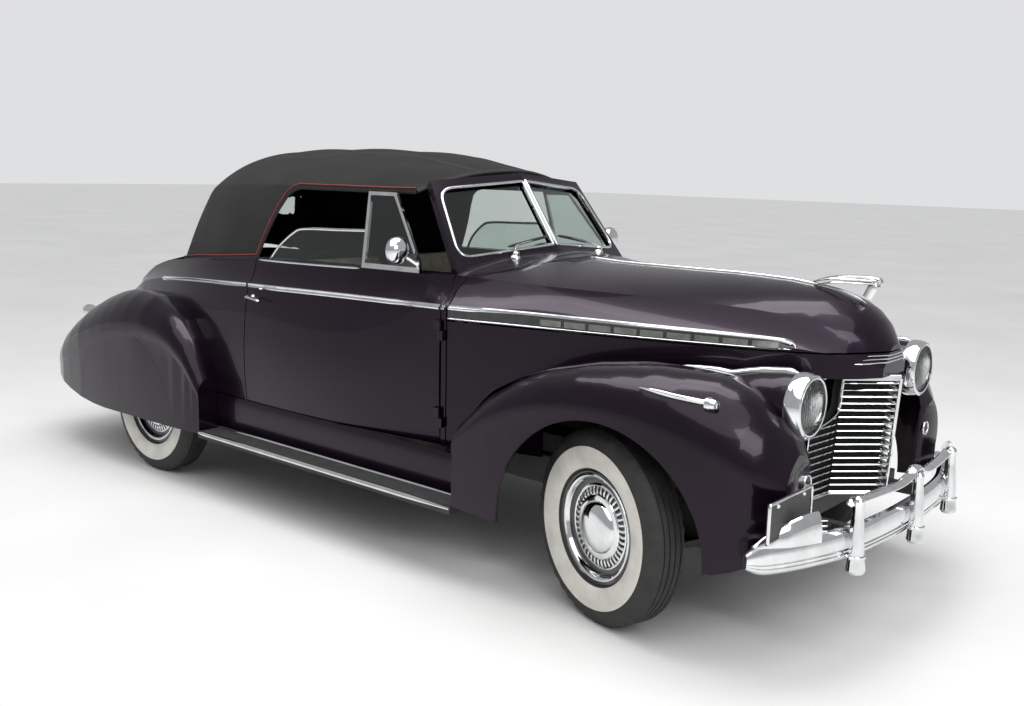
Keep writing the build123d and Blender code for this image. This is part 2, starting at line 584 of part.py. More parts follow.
# Frame: two rails with cross-members and bumper irons, all under the floor
RAIL_INNER_Y = 365.0
RAIL_WIDTH = 65.0
RAIL_TOP_Z = FLOOR_Z
RAIL_BOTTOM_Z = 335.0
RAIL_FRONT_X = 560.0
RAIL_REAR_X = -3840.0
AXLE_ARCH_Z = 408.0
rail_outline = [(RAIL_FRONT_X, RAIL_TOP_Z), (RAIL_FRONT_X, RAIL_BOTTOM_Z + 30), (400, RAIL_BOTTOM_Z),
                (REAR_AXLE_X + 190, RAIL_BOTTOM_Z), (REAR_AXLE_X + 120, AXLE_ARCH_Z), (REAR_AXLE_X - 120, AXLE_ARCH_Z),
                (REAR_AXLE_X - 190, RAIL_BOTTOM_Z + 20), (RAIL_REAR_X, RAIL_BOTTOM_Z + 40), (RAIL_REAR_X, RAIL_TOP_Z)]
frame = Part()
for rail in both_sides(side_prism(rail_outline, -RAIL_INNER_Y - RAIL_WIDTH, -RAIL_INNER_Y)):
    frame = frame + rail
# Columns: front x, rear x, bottom z, top z
ENGINE_BASE_Z = 460.0
CROSS_MEMBERS = [
    (70, -70, 340, ENGINE_BASE_Z),
    (500, 440, 380, 446),
    (-1120, -1200, 414, 446),
    (-3150, -3210, 390, 446),
    (-3770, -3830, 390, 446),
]
for x_front, x_rear, z_low, z_high in CROSS_MEMBERS:
    frame = frame + block(x_front, x_rear, -RAIL_INNER_Y - 5, RAIL_INNER_Y + 5, z_low, z_high)
# Outriggers carry the running boards and the sills
OUTRIGGER_XS = [-900, -1500, -2150]
for x in OUTRIGGER_XS:
    for arm in both_sides(block(x - 25, x + 25, -750, -RAIL_INNER_Y - 5, 395, 446)):
        frame = frame + arm

# Front and rear bumpers
BUMPER_TIP_X = 585.0
BUMPER_TIP_Y = 858.0
BUMPER_KNEE_X = 752.0
BUMPER_CENTRE_X = 786.0
REAR_BUMPER_X = REAR_END_X + 30
GUARD_RADIUS = 30.0


def bumper_bar(centre, knee, tip, tip_y, depth, z0, z1):
    """A bar curved in plan through centre, knee and tip, its back depth nearer the car."""
    sign = math.copysign(1, centre - tip)

    via_x = knee * 0.56 + tip * 0.44 + sign * 22
    via_y = GUARD_Y + (tip_y - GUARD_Y) * 0.52

    def half(xs):
        a = Edge.make_three_point_arc((tip - xs, -tip_y, z0), (via_x - xs, -via_y, z0), (knee - xs, -GUARD_Y, z0))
        b = Edge.make_three_point_arc((knee - xs, -GUARD_Y, z0), (centre - xs, 0, z0), (knee - xs, GUARD_Y, z0))
        c = Edge.make_three_point_arc((knee - xs, GUARD_Y, z0), (via_x - xs, via_y, z0), (tip - xs, tip_y, z0))
        return [a, b, c]

    back = sign * depth
    edges = half(0) + half(back)
    edges.append(Edge.make_line((tip, -tip_y, z0), (tip - back, -tip_y, z0)))
    edges.append(Edge.make_line((tip, tip_y, z0), (tip - back, tip_y, z0)))
    return extrude(Face(Wire(edges)), amount=z1 - z0, dir=(0, 0, 1))


BAR_LOW = BUMPER_Z - BUMPER_HEIGHT / 2
BAR_HIGH = BUMPER_Z + BUMPER_HEIGHT / 2
RIB_PROUD = 9.0
RIB_DEPTH = 12.0
RIB_EDGE = 14.0
RIB_GROOVE = 8.0
REAR_KNEE_X = REAR_BUMPER_X + 28
REAR_TIP_X = -3962.0
REAR_TIP_Y = 744.0
front_bar = bumper_bar(BUMPER_CENTRE_X, BUMPER_KNEE_X, BUMPER_TIP_X, BUMPER_TIP_Y, BUMPER_DEPTH, BAR_LOW, BAR_HIGH)
for z0, z1 in ((BAR_LOW + RIB_EDGE, BUMPER_Z - RIB_GROOVE), (BUMPER_Z + RIB_GROOVE, BAR_HIGH - RIB_EDGE)):
    faces_x = [x + RIB_PROUD for x in (BUMPER_CENTRE_X, BUMPER_KNEE_X, BUMPER_TIP_X)]
    front_bar = front_bar + bumper_bar(*faces_x, BUMPER_TIP_Y, RIB_DEPTH, z0, z1)
rear_bar = bumper_bar(REAR_BUMPER_X, REAR_KNEE_X, REAR_TIP_X, REAR_TIP_Y, BUMPER_DEPTH, BAR_LOW, BAR_HIGH)
# Columns: y, x of the bar's face there
GUARDS = [(-GUARD_Y, BUMPER_KNEE_X), (0, BUMPER_CENTRE_X), (GUARD_Y, BUMPER_KNEE_X)]
GUARD_LOW_Z = 312.0
GUARD_HIGH_Z = 556.0
GUARD_FRONT = FRONT_OVERHANG - BUMPER_CENTRE_X
for y, x_face in GUARDS:
    post_x = x_face + GUARD_FRONT - GUARD_RADIUS
    front_bar = front_bar + rod((post_x, y, GUARD_LOW_Z), (post_x - 10, y, GUARD_HIGH_Z), GUARD_RADIUS)
    front_bar = front_bar + Pos(post_x - 10, y, GUARD_HIGH_Z) * Sphere(GUARD_RADIUS)
for y0, y1, x0, x1 in [(-GUARD_Y, 0, BUMPER_KNEE_X, BUMPER_CENTRE_X), (0, GUARD_Y, BUMPER_CENTRE_X, BUMPER_KNEE_X)]:
    front_bar = front_bar + rod((x0 + 10, y0, GUARD_HIGH_Z), (x1 + 10, y1, GUARD_HIGH_Z), 13)
for y in (-GUARD_Y * 0.8, GUARD_Y * 0.8):
    rear_bar = rear_bar + rod((REAR_BUMPER_X, y, GUARD_LOW_Z), (REAR_BUMPER_X, y, GUARD_HIGH_Z - 40), GUARD_RADIUS - 0.001)
IRON_WIDTH = 40.0
iron_y = RAIL_INNER_Y - 32
for iron in both_sides(block(440, 745, -iron_y - IRON_WIDTH / 2, -iron_y + IRON_WIDTH / 2, 392, 432)):
    frame = frame + (iron - front_bar)
for iron in both_sides(block(-3770, REAR_BUMPER_X + 30, -iron_y - IRON_WIDTH / 2, -iron_y + IRON_WIDTH / 2, 392, 432)):
    frame = frame + (iron - rear_bar)
keep("front_bumper", front_bar)
keep("rear_bumper", rear_bar)

# Number plate: a blank plate on a stalk from the right-hand bumper iron
PLATE_X = 646.0
PLATE_YS = (-860.0, -560.0)
PLATE_ZS = (484.0, 616.0)
plate = block(PLATE_X, PLATE_X + 6, *PLATE_YS, *PLATE_ZS)
stalk = block(PLATE_X - 18, PLATE_X, -620, -590, 402, 560)
stalk = stalk + block(PLATE_X - 18, PLATE_X, -620, -iron_y - IRON_WIDTH / 2, 402, 430)
keep("number_plate", plate + (stalk - front_bar))

# Engine with its gearbox as one plain mass, radiator, fuel tank, exhaust
engine = block(-560, 180, -190, 190, ENGINE_BASE_Z, 960) + block(-560, -240, -130, 130, 275, 460)
engine = engine + rod((-560, 0, 575), (-774, 0, 575), 110)
gearbox = block(-560, -1110, -115, 115, 300, 448)
keep("engine", engine)
keep("gearbox", gearbox)
keep("radiator", block(470, 410, -285, 285, 446, 850))
keep("fuel_tank", block(-3200, -3780, -340, 340, 300, 390))
pipe = rod((-500, -250, 310), (-1500, -250, 310), 24) + rod((-1450, -250, 310), (-2050, -250, 310), 62)
pipe = pipe + rod((-2040, -250, 310), (-2600, -250, 300), 24)
pipe = pipe + rod((-500, -250, 310), (-500, -250, 520), 24) + rod((-500, -250, 520), (-500, -190, 520), 23)
for x in (-1600, -1950):
    pipe = pipe + block(x - 12, x + 12, -RAIL_INNER_Y, -255, 345, 365)
keep("exhaust", pipe)

# Rear axle with its torque tube, and springs
axle = rod((REAR_AXLE_X, -REAR_TRACK / 2 + 95, AXLE_HEIGHT), (REAR_AXLE_X, REAR_TRACK / 2 - 95, AXLE_HEIGHT), 40)
axle = axle + rod((REAR_AXLE_X, -REAR_TRACK / 2 - 40, AXLE_HEIGHT), (REAR_AXLE_X, REAR_TRACK / 2 + 40, AXLE_HEIGHT), SPINDLE_RADIUS)
axle = axle + (Pos(REAR_AXLE_X, 0, AXLE_HEIGHT) * Sphere(118) - block(-4000, 0, -500, 500, 446, 600))
axle = axle + (rod((REAR_AXLE_X, 0, AXLE_HEIGHT), (-1090, 0, 372), 38) - gearbox)
SPRING_Y = 520.0
SPRING_Z = AXLE_HEIGHT + 36
leaf = block(REAR_AXLE_X - 600, REAR_AXLE_X + 600, -SPRING_Y - 28, -SPRING_Y + 28, SPRING_Z, SPRING_Z + 18)
leaf = leaf + block(REAR_AXLE_X - 400, REAR_AXLE_X + 400, -SPRING_Y - 28, -SPRING_Y + 28, SPRING_Z + 18, SPRING_Z + 34)
axle = axle + leaf + mirror(leaf, about=Plane.XZ)
for hanger_x in (REAR_AXLE_X - 590, REAR_AXLE_X + 590):
    for hanger in both_sides(block(hanger_x - 15, hanger_x + 15, -SPRING_Y - 28, -RAIL_INNER_Y - 5, SPRING_Z + 18, RAIL_TOP_Z - 4)):
        frame = frame + hanger
keep("rear_axle", axle)


# Wheels
TYRE_SIDES = 60
# Columns: along the axle, radius to the flats
TYRE_OUTSIDE = [(-80, 264), (-73, 325), (-36, TYRE_RADIUS), (36, TYRE_RADIUS), (73, 325), (80, 264)]
TYRE_INSIDE = [(-90, 285.75), (-56, RIM_RADIUS), (56, RIM_RADIUS), (90, 285.75)]
WHEEL_OUTLINE = [(204.8, 58), (204.8, -58), (192, -58), (192, -30), (150, -18), (150, -40), (40, -40),
                 (SPINDLE_RADIUS + BEARING_CLEARANCE, -40), (SPINDLE_RADIUS + BEARING_CLEARANCE, 44), (0, 44), (0, 66),
                 (60, 62), (105, 44), (120, 30), (160, 34), (188, 46), (192, 58)]


def tyre_wire(row, centre):
    """A many-sided ring round the axle with a flat side down."""
    along, radius = row
    reach = radius / math.cos(math.pi / TYRE_SIDES)
    turns = [math.pi * (2 * n + 1) / TYRE_SIDES for n in range(TYRE_SIDES)]
    return Wire.make_polygon([centre + Vector(reach * math.sin(a), along, -reach * math.cos(a)) for a in turns])


def wheel_at(x, track, side):
    """Tyre and wheel with their outer face towards side, -1 for the right and 1 for the left."""
    centre = Vector(x, side * track / 2, AXLE_HEIGHT)
    tyre = ruled(TYRE_OUTSIDE, tyre_wire, (centre,)) - ruled(TYRE_INSIDE, tyre_wire, (centre,))
    wheel = turned(WHEEL_OUTLINE, tuple(centre), (0, side, 0))
    return tyre, wheel


# Front suspension arms, knuckles and tie rod
KINGPIN_LOW_Z = 205.0
KINGPIN_HIGH_Z = 500.0
ARM_EYE_RADIUS = 34.0
# Columns: z of the arm, thickness, pivot y at the frame, half width at the frame
ARMS = [(228, 26, 330, 125), (470, 24, 380, 95)]
for z, thick, y_frame, half in ARMS:
    wedge = plan_prism([(-half, -y_frame), (half, -y_frame), (28, -KINGPIN_Y), (-28, -KINGPIN_Y)], z - thick / 2, z + thick / 2)
    eye = rod((0, -KINGPIN_Y, z - thick / 2), (0, -KINGPIN_Y, z + thick / 2), ARM_EYE_RADIUS)
    bore = rod((0, -KINGPIN_Y, z - 100), (0, -KINGPIN_Y, z + 100), KINGPIN_RADIUS + BEARING_CLEARANCE)
    arm = wedge + eye - bore
    keep("front_suspension", *both_sides(arm))
    for tower in both_sides(block(-half, half, -y_frame, -y_frame + 40, min(z - 20, 340), max(z + 20, 440))):
        frame = frame + (tower - engine)
keep("frame", frame)


def knuckle(side):
    """Kingpin, spindle and steering arm of one front wheel, straight ahead."""
    y = side * KINGPIN_Y
    pin = rod((0, y, KINGPIN_LOW_Z), (0, y, KINGPIN_HIGH_Z), KINGPIN_RADIUS)
    boss = rod((0, y, 262), (0, y, 440), KINGPIN_RADIUS + 13)
    spindle = rod((0, y, AXLE_HEIGHT), (0, side * (FRONT_TRACK / 2 + 40), AXLE_HEIGHT), SPINDLE_RADIUS)
    arm = block(-STEERING_ARM, 0, y - 14, y + 14, TIE_ROD_Z + 20, TIE_ROD_Z + 36)
    ball = rod((-STEERING_ARM, y, TIE_ROD_Z - 16), (-STEERING_ARM, y, TIE_ROD_Z + 36), 9)
    cheek = rod((-STEERING_ARM, y, TIE_ROD_Z + 20), (-STEERING_ARM, y, TIE_ROD_Z + 36), 14)
    return pin + boss + spindle + arm + ball + cheek


rod_bar = rod((-STEERING_ARM, -KINGPIN_Y, TIE_ROD_Z), (-STEERING_ARM, KINGPIN_Y, TIE_ROD_Z), TIE_ROD_RADIUS)
for y, bore_radius in ((KINGPIN_Y, 9 + BEARING_CLEARANCE), (-KINGPIN_Y, 12)):
    rod_bar = rod_bar + rod((-STEERING_ARM, y, TIE_ROD_Z - 13), (-STEERING_ARM, y, TIE_ROD_Z + 13), TIE_ROD_EYE_RADIUS)
    rod_bar = rod_bar - rod((-STEERING_ARM, y, 0), (-STEERING_ARM, y, 1000), bore_radius)
turn = math.radians(STEERING_REST_DEG)
arm_shift = (STEERING_ARM * (1 - math.cos(turn)), -STEERING_ARM * math.sin(turn), 0)
keep("tie_rod", Pos(*arm_shift) * rod_bar)
for side, hand in ((-1, "right"), (1, "left")):
    kingpin = Axis((0, side * KINGPIN_Y, 0), (0, 0, 1))
    tyre, wheel = wheel_at(0, FRONT_TRACK, side)
    keep(f"knuckle_{hand}", knuckle(side).rotate(kingpin, STEERING_REST_DEG))
    keep(f"tyre_front_{hand}", tyre.rotate(kingpin, STEERING_REST_DEG))
    keep(f"wheel_front_{hand}", wheel.rotate(kingpin, STEERING_REST_DEG))
    tyre, wheel = wheel_at(REAR_AXLE_X, REAR_TRACK, side)
    keep(f"tyre_rear_{hand}", tyre)
    keep(f"wheel_rear_{hand}", wheel)

# Grille: horizontal bars round the prow and the lower wings
grille = Part()


def grille_line(z):
    """The plan line of the grille at a height: prow tip, kink, and wing end where there is a wing."""
    share = (z - GRILLE_BOTTOM_Z) / (GRILLE_TOP_Z - GRILLE_BOTTOM_Z)
    tip = PROW_TIP_BOTTOM_X + (PROW_TIP_TOP_X - PROW_TIP_BOTTOM_X) * share
    line = [(tip, 0), (tip - PROW_DEPTH, -PROW_HALF_WIDTH)]
    if z < GRILLE_WING_TOP_Z:
        line.append((tip - WING_DEPTH, -WING_HALF_WIDTH))
    return line


def grille_band(z0, z1, depth, proud):
    """A band round the grille line, proud of it in front and depth deep."""
    right = grille_line(z0)
    front = [(x + proud, y) for x, y in right]
    front = [(x, -y) for x, y in reversed(front)] + front[1:]
    back = [(x - depth, y) for x, y in reversed(front)]
    return plan_prism(front + back, z0, z1)


bar_pitch = (GRILLE_TOP_Z - GRILLE_BOTTOM_Z) / GRILLE_BARS
for n in range(GRILLE_BARS):
    z = GRILLE_BOTTOM_Z + n * bar_pitch
    grille = grille + grille_band(z, z + GRILLE_BAR_HEIGHT, GRILLE_BAR_DEPTH, 0)
grille = grille + grille_band(GRILLE_TOP_Z - GRILLE_BAR_HEIGHT, GRILLE_TOP_Z + GRILLE_CAP, GRILLE_BAR_DEPTH + 6, 4)
tip_outline = [(PROW_TIP_BOTTOM_X - 26, GRILLE_BOTTOM_Z), (PROW_TIP_BOTTOM_X + 8, GRILLE_BOTTOM_Z),
               (PROW_TIP_TOP_X + 8, GRILLE_TOP_Z + GRILLE_CAP), (PROW_TIP_TOP_X - 26, GRILLE_TOP_Z + GRILLE_CAP)]
grille = grille + side_prism(tip_outline, -11, 11)
POST_TILT = PROW_TIP_TOP_X - PROW_TIP_BOTTOM_X
# Columns: y, set back behind the prow tip, top z
POSTS = [(-PROW_HALF_WIDTH, PROW_DEPTH, GRILLE_TOP_Z), (-WING_HALF_WIDTH + 8, WING_DEPTH, GRILLE_WING_TOP_Z - 10)]
for y, back, z_top in POSTS:
    lean = POST_TILT * (z_top - GRILLE_BOTTOM_Z) / (GRILLE_TOP_Z - GRILLE_BOTTOM_Z)
    foot = PROW_TIP_BOTTOM_X - back
    outline = [(foot - 22, GRILLE_BOTTOM_Z), (foot - 8, GRILLE_BOTTOM_Z), (foot + lean - 8, z_top), (foot + lean - 22, z_top)]
    for post in both_sides(side_prism(outline, y - 8, y + 8)):
        grille = grille + post
keep("grille", grille)

# Lamps
bezel_outline = [(LAMP_LENS_RADIUS + 1, 0), (LAMP_BEZEL_RADIUS - 2, 0), (LAMP_BEZEL_RADIUS, 8), (LAMP_LENS_RADIUS + 5, 22),
                 (LAMP_LENS_RADIUS + 1, 22)]
lens_outline = [(0, 0), (LAMP_LENS_RADIUS, 0), (LAMP_LENS_RADIUS, 12), (70, 24), (40, 30), (0, 33)]
face_x = LAMP_FACE_X - 14
keep("lamp_bodies", *both_sides(turned(bezel_outline, (face_x, -LAMP_Y, LAMP_Z), (1, 0, 0))))
keep("lamp_lenses", *both_sides(turned(lens_outline, (face_x, -LAMP_Y, LAMP_Z), (1, 0, 0))))
TAIL_LAMP = (-3650, -716, 748)
tail_outline = [(0, -26), (30, -24), (34, 0), (30, 40), (18, 84), (0, 110)]
tail = turned(tail_outline, TAIL_LAMP, (1, 0, 0)) - rear_outer
keep("lamp_bodies", *both_sides(tail))

# Cabin: dashboard with the column, seats
dash = (cowl_inner & block(-985, -935, -545, 545, 985, 1500)) - frame_right - mirror(frame_right, about=Plane.XZ)
COLUMN_FOOT = (-801, 350, 800)
COLUMN_HEAD = (-1290, 350, 1040)
column_dir = (Vector(*COLUMN_HEAD) - Vector(*COLUMN_FOOT)).normalized()
column = rod(COLUMN_FOOT, COLUMN_HEAD, 22) & block(-2000, -800, 0, 900, 0, 2000)
keep("dashboard", dash, column - dash)
hub_at = Vector(*COLUMN_HEAD) + column_dir * 5
rim_at = Vector(*COLUMN_HEAD) + column_dir * 24
wheel_plane = Plane(origin=rim_at, x_dir=(0, 1, 0), z_dir=column_dir)
RIM_R = 212.0
RIM_THICK = 12.0
rim_angles = [math.radians(18 + 36 * n) for n in range(10)]
rim_corners = [Vector(RIM_R + RIM_THICK * math.cos(a), 0, RIM_THICK * math.sin(a)) for a in rim_angles]
rim_outline = Wire.make_polygon([wheel_plane.from_local_coords(c) for c in rim_corners])
steering = revolve(Face(rim_outline), axis=Axis(rim_at, column_dir))
hub_foot = hub_at - column_dir * 30
steering = steering + rod(hub_foot, hub_at + column_dir * 34, 42)
for angle in (90, 210, 330):
    a = math.radians(angle)
    tip = wheel_plane.from_local_coords(Vector(RIM_R * math.cos(a), RIM_R * math.sin(a), 0))
    steering = steering + rod(rim_at, tip, 8)
steering = steering - rod(COLUMN_FOOT, hub_at, 22 + BEARING_CLEARANCE)
keep("steering_wheel", steering)

SEAT_HALF_WIDTH = 595.0
front_seat = [(-1480, WALL_BASE_Z), (-1470, 740), (-1490, 800), (-1880, 770), (-1960, 1170), (-1985, 1200), (-2030, 1195),
              (-2010, 900), (-2000, WALL_BASE_Z)]
rear_seat = [(-2500, WALL_BASE_Z), (-2490, 730), (-2510, 770), (-2800, 745), (-2850, 1030), (-2880, 1045), (-2958, 1040),
             (-2958, WALL_BASE_Z)]
keep("front_seat", side_prism(front_seat, -SEAT_HALF_WIDTH, SEAT_HALF_WIDTH))
keep("rear_seat", side_prism(rear_seat, -500, 500))

# Door windows: a fixed vent frame with its pane, and the half-lowered pane
door_sill_front = SILL_Z - 12
LEAN = 0.24
VENT_FRAME = 16.0
PANE_Y = -672.0


def window_slab(points, thickness):
    """A slab over a side-view outline, leaning in with height from the door's sill line."""
    corners = [Vector(x, PANE_Y + (z - SILL_Z) * LEAN, z) for x, z in points]
    normal = Vector(0, -1, LEAN).normalized()
    return extrude(Face(Wire.make_polygon(corners)), amount=thickness / 2, dir=normal, both=True)


vent = [(-1042, 1150), (-1396, 1150), (-1436, 1494), (-1268, 1494), (-1060, 1222)]
vent_hole = [(-1068, 1195), (-1382, 1192), (-1419, 1479), (-1274, 1479), (-1080, 1226)]
pane = [(-1402, 1150), (-2040, 1150), (-1985, 1225), (-1900, 1290), (-1830, 1312), (-1422, 1326)]
vent_frame = window_slab(vent, VENT_FRAME) - window_slab(vent_hole, 60)
vent_glass = window_slab(vent_hole, GLASS)
door_pane = window_slab(pane, GLASS)
above_door = block(-3000, 0, -2000, 2000, 900, 2000) - side_prism(door_outline(0), -1000, 1000)
mirror_head = rod((-1110, -746, 1268), (-1122, -746, 1268), 55)
mirror_arm = rod((-1062, -668, 1203), (-1112, -742, 1262), 6)
door_trim = (vent_frame & above_door) + mirror_arm + mirror_head
keep("door_frame_right", door_trim - vent_glass)
keep("door_frame_left", mirror(door_trim - vent_glass, about=Plane.XZ))
keep("door_glass_right", vent_glass & above_door, (door_pane & above_door) - vent_frame)
keep("door_glass_left", mirror(vent_glass & above_door, about=Plane.XZ), mirror((door_pane & above_door) - vent_frame, about=Plane.XZ))

# Hood ornament
ornament = side_prism([(340, 1190), (360, 1236), (480, 1254), (596, 1252), (604, 1244), (560, 1224), (560, 1120)], -9, 9)
keep("hood_ornament", ornament - hood_outer)

os.makedirs("parts", exist_ok=True)
for name, found in solids.items():
    shape = Compound(children=[Pos(FRONT_AXLE_X, 0, 0) * s for s in found])
    export_step(shape, f"parts/{name}.step")
    print(name, len(found), round(sum(s.volume for s in found) / 1e6, 2), all(s.is_valid for s in found))
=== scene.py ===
import json
import math

import bmesh
import bpy
from mathutils import Matrix, Vector
from mathutils.bvhtree import BVHTree


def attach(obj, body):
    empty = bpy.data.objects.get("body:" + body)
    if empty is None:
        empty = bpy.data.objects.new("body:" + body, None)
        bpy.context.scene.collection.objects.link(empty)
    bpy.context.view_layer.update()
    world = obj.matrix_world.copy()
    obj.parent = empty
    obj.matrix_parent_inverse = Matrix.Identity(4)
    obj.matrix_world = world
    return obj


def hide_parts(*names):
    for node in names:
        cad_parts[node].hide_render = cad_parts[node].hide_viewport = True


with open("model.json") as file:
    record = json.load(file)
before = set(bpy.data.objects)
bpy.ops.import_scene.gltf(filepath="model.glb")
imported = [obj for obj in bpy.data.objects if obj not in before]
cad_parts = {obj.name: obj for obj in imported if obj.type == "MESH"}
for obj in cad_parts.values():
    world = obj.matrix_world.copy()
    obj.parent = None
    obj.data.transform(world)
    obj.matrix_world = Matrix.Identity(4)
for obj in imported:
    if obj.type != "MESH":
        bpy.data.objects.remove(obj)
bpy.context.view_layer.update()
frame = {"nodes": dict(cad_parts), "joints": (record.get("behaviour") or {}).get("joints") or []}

NODES = frame["nodes"]
JOINTS = {joint["name"]: joint for joint in frame["joints"]}
FRONT_AXLE = 1.6125


def at(x, y, z):
    """A point from millimetres with X from the front axle, as metres in the part's frame."""
    return Vector((x / 1000 + FRONT_AXLE, y / 1000, z / 1000))


# Materials

def node(tree, kind, **values):
    made = tree.nodes.new(kind)
    for key, value in values.items():
        if hasattr(made, key):
            setattr(made, key, value)
        else:
            made.inputs[key].default_value = value
    return made


def surface(name, dark, light, scale, rough, metal=0.0, grain=None, **sockets):
    """A shader whose colour and roughness drift between two values, with a fine bump called grain."""
    made = bpy.data.materials.new(name)
    made.use_nodes = True
    tree = made.node_tree
    shader = tree.nodes["Principled BSDF"]
    shader.inputs["Metallic"].default_value = metal
    for key, value in sockets.items():
        shader.inputs[key.replace("_", " ")].default_value = value
    place = node(tree, "ShaderNodeTexCoord").outputs["Object"]
    drift = node(tree, "ShaderNodeTexNoise", Scale=scale, Detail=5.0, Roughness=0.6)
    tree.links.new(place, drift.inputs["Vector"])
    ramp = node(tree, "ShaderNodeValToRGB")
    ramp.color_ramp.elements[0].position = 0.32
    ramp.color_ramp.elements[1].position = 0.68
    ramp.color_ramp.elements[0].color = (*dark, 1)
    ramp.color_ramp.elements[1].color = (*light, 1)
    tree.links.new(drift.outputs["Fac"], ramp.inputs["Fac"])
    tree.links.new(ramp.outputs["Color"], shader.inputs["Base Color"])
    spread = node(tree, "ShaderNodeMapRange")
    spread.inputs["To Min"].default_value = rough[0]
    spread.inputs["To Max"].default_value = rough[1]
    tree.links.new(drift.outputs["Fac"], spread.inputs["Value"])
    tree.links.new(spread.outputs["Result"], shader.inputs["Roughness"])
    if grain:
        kind, fine, strength, depth = grain
        bump = node(tree, "ShaderNodeBump", Strength=strength, Distance=depth)
        tree.links.new(GRAINS[kind](tree, place, fine), bump.inputs["Height"])
        tree.links.new(bump.outputs["Normal"], shader.inputs["Normal"])
    return made


def noise_grain(tree, place, fine):
    made = node(tree, "ShaderNodeTexNoise", Scale=fine, Detail=3.0)
    tree.links.new(place, made.inputs["Vector"])
    return made.outputs["Fac"]


def cell_grain(tree, place, fine):
    made = node(tree, "ShaderNodeTexVoronoi", Scale=fine)
    tree.links.new(place, made.inputs["Vector"])
    return made.outputs["Distance"]


def weave_grain(tree, place, fine):
    """Threads along all three axes, so that two of them cross on any face."""
    total = None
    for axis in "XYZ":
        wave = node(tree, "ShaderNodeTexWave", bands_direction=axis, Scale=fine, Distortion=1.5)
        wave.inputs["Detail Scale"].default_value = 4.0
        tree.links.new(place, wave.inputs["Vector"])
        if total is None:
            total = wave.outputs["Fac"]
            continue
        joined = node(tree, "ShaderNodeMath", operation="MULTIPLY_ADD")
        joined.inputs[1].default_value = 0.6
        tree.links.new(wave.outputs["Fac"], joined.inputs[0])
        tree.links.new(total, joined.inputs[2])
        total = joined.outputs[0]
    return total


def flute_grain(tree, place, fine):
    wave = node(tree, "ShaderNodeTexWave", bands_direction="Y", Scale=fine)
    tree.links.new(place, wave.inputs["Vector"])
    return wave.outputs["Fac"]


GRAINS = {"noise": noise_grain, "cells": cell_grain, "weave": weave_grain, "flutes": flute_grain}

PAINT = surface("paint_dark_purple", (0.0030, 0.0012, 0.0032), (0.0058, 0.0023, 0.0064), 3.0, (0.22, 0.30),
                0.0,
                ("noise", 900.0, 0.02, 0.0004), Specular_IOR_Level=0.22, Specular_Tint=(0.85, 0.60, 0.90, 1),
                Coat_Weight=0.5, Coat_Roughness=0.02, Coat_IOR=1.36)
CHROME = surface("chrome", (0.70, 0.71, 0.72), (0.86, 0.87, 0.88), 14.0, (0.035, 0.11), 1.0,
                 ("noise", 320.0, 0.03, 0.0004))
CANVAS = surface("top_canvas", (0.007, 0.007, 0.0075), (0.016, 0.0155, 0.016), 5.0, (0.82, 0.97), 0.0,
                 ("weave", 110.0, 0.55, 0.0012), Specular_IOR_Level=0.2, Sheen_Weight=0.06,
                 Sheen_Roughness=0.5)
BINDING = surface("canvas_binding", (0.007, 0.007, 0.0075), (0.015, 0.0145, 0.015), 30.0, (0.7, 0.9), 0.0,
                  ("weave", 190.0, 0.5, 0.0008))
PIPING = surface("red_piping", (0.13, 0.012, 0.014), (0.24, 0.03, 0.03), 60.0, (0.5, 0.7), 0.0,
                 ("weave", 260.0, 0.4, 0.0005))
RUBBER = surface("tyre_rubber", (0.012, 0.012, 0.012), (0.03, 0.029, 0.028), 18.0, (0.55, 0.85), 0.0,
                 ("noise", 420.0, 0.3, 0.0006))
WHITEWALL = surface("tyre_white_wall", (0.55, 0.53, 0.48), (0.74, 0.72, 0.67), 9.0, (0.42, 0.62), 0.0,
                    ("noise", 240.0, 0.12, 0.0005))
MAT_RUBBER = surface("board_rubber", (0.016, 0.016, 0.016), (0.04, 0.039, 0.038), 22.0, (0.5, 0.8), 0.0,
                     ("noise", 500.0, 0.25, 0.0005))
ENAMEL = surface("wheel_black_enamel", (0.010, 0.010, 0.011), (0.022, 0.022, 0.024), 12.0, (0.12, 0.25), 0.0,
                 ("noise", 300.0, 0.03, 0.0004), Coat_Weight=0.6, Coat_Roughness=0.05)
CHASSIS = surface("chassis_black", (0.012, 0.012, 0.012), (0.045, 0.042, 0.038), 7.0, (0.45, 0.75), 0.0,
                  ("noise", 160.0, 0.25, 0.0012))
GLASS = surface("window_glass", (0.70, 0.78, 0.75), (0.78, 0.85, 0.82), 2.0, (0.0, 0.025), 0.0, None,
                Transmission_Weight=1.0, IOR=1.45)
LENS = surface("lamp_glass", (0.86, 0.88, 0.88), (0.95, 0.96, 0.96), 4.0, (0.02, 0.06), 0.0,
               ("flutes", 26.0, 0.6, 0.002), Transmission_Weight=1.0, IOR=1.48)
RED_LENS = surface("tail_lens", (0.30, 0.006, 0.008), (0.45, 0.015, 0.015), 30.0, (0.08, 0.16), 0.0,
                   ("flutes", 60.0, 0.4, 0.001), Coat_Weight=0.8, Coat_Roughness=0.04)
REFLECTOR = surface("lamp_reflector", (0.78, 0.79, 0.80), (0.90, 0.90, 0.91), 20.0, (0.08, 0.16), 1.0,
                    ("cells", 90.0, 0.25, 0.001))
LEATHER = surface("seat_leather", (0.30, 0.265, 0.215), (0.40, 0.36, 0.30), 8.0, (0.42, 0.6), 0.0,
                  ("cells", 420.0, 0.35, 0.0008))
CARPET = surface("floor_carpet", (0.035, 0.030, 0.030), (0.075, 0.066, 0.064), 60.0, (0.9, 1.0), 0.0,
                 ("noise", 700.0, 0.9, 0.003), Sheen_Weight=0.4)
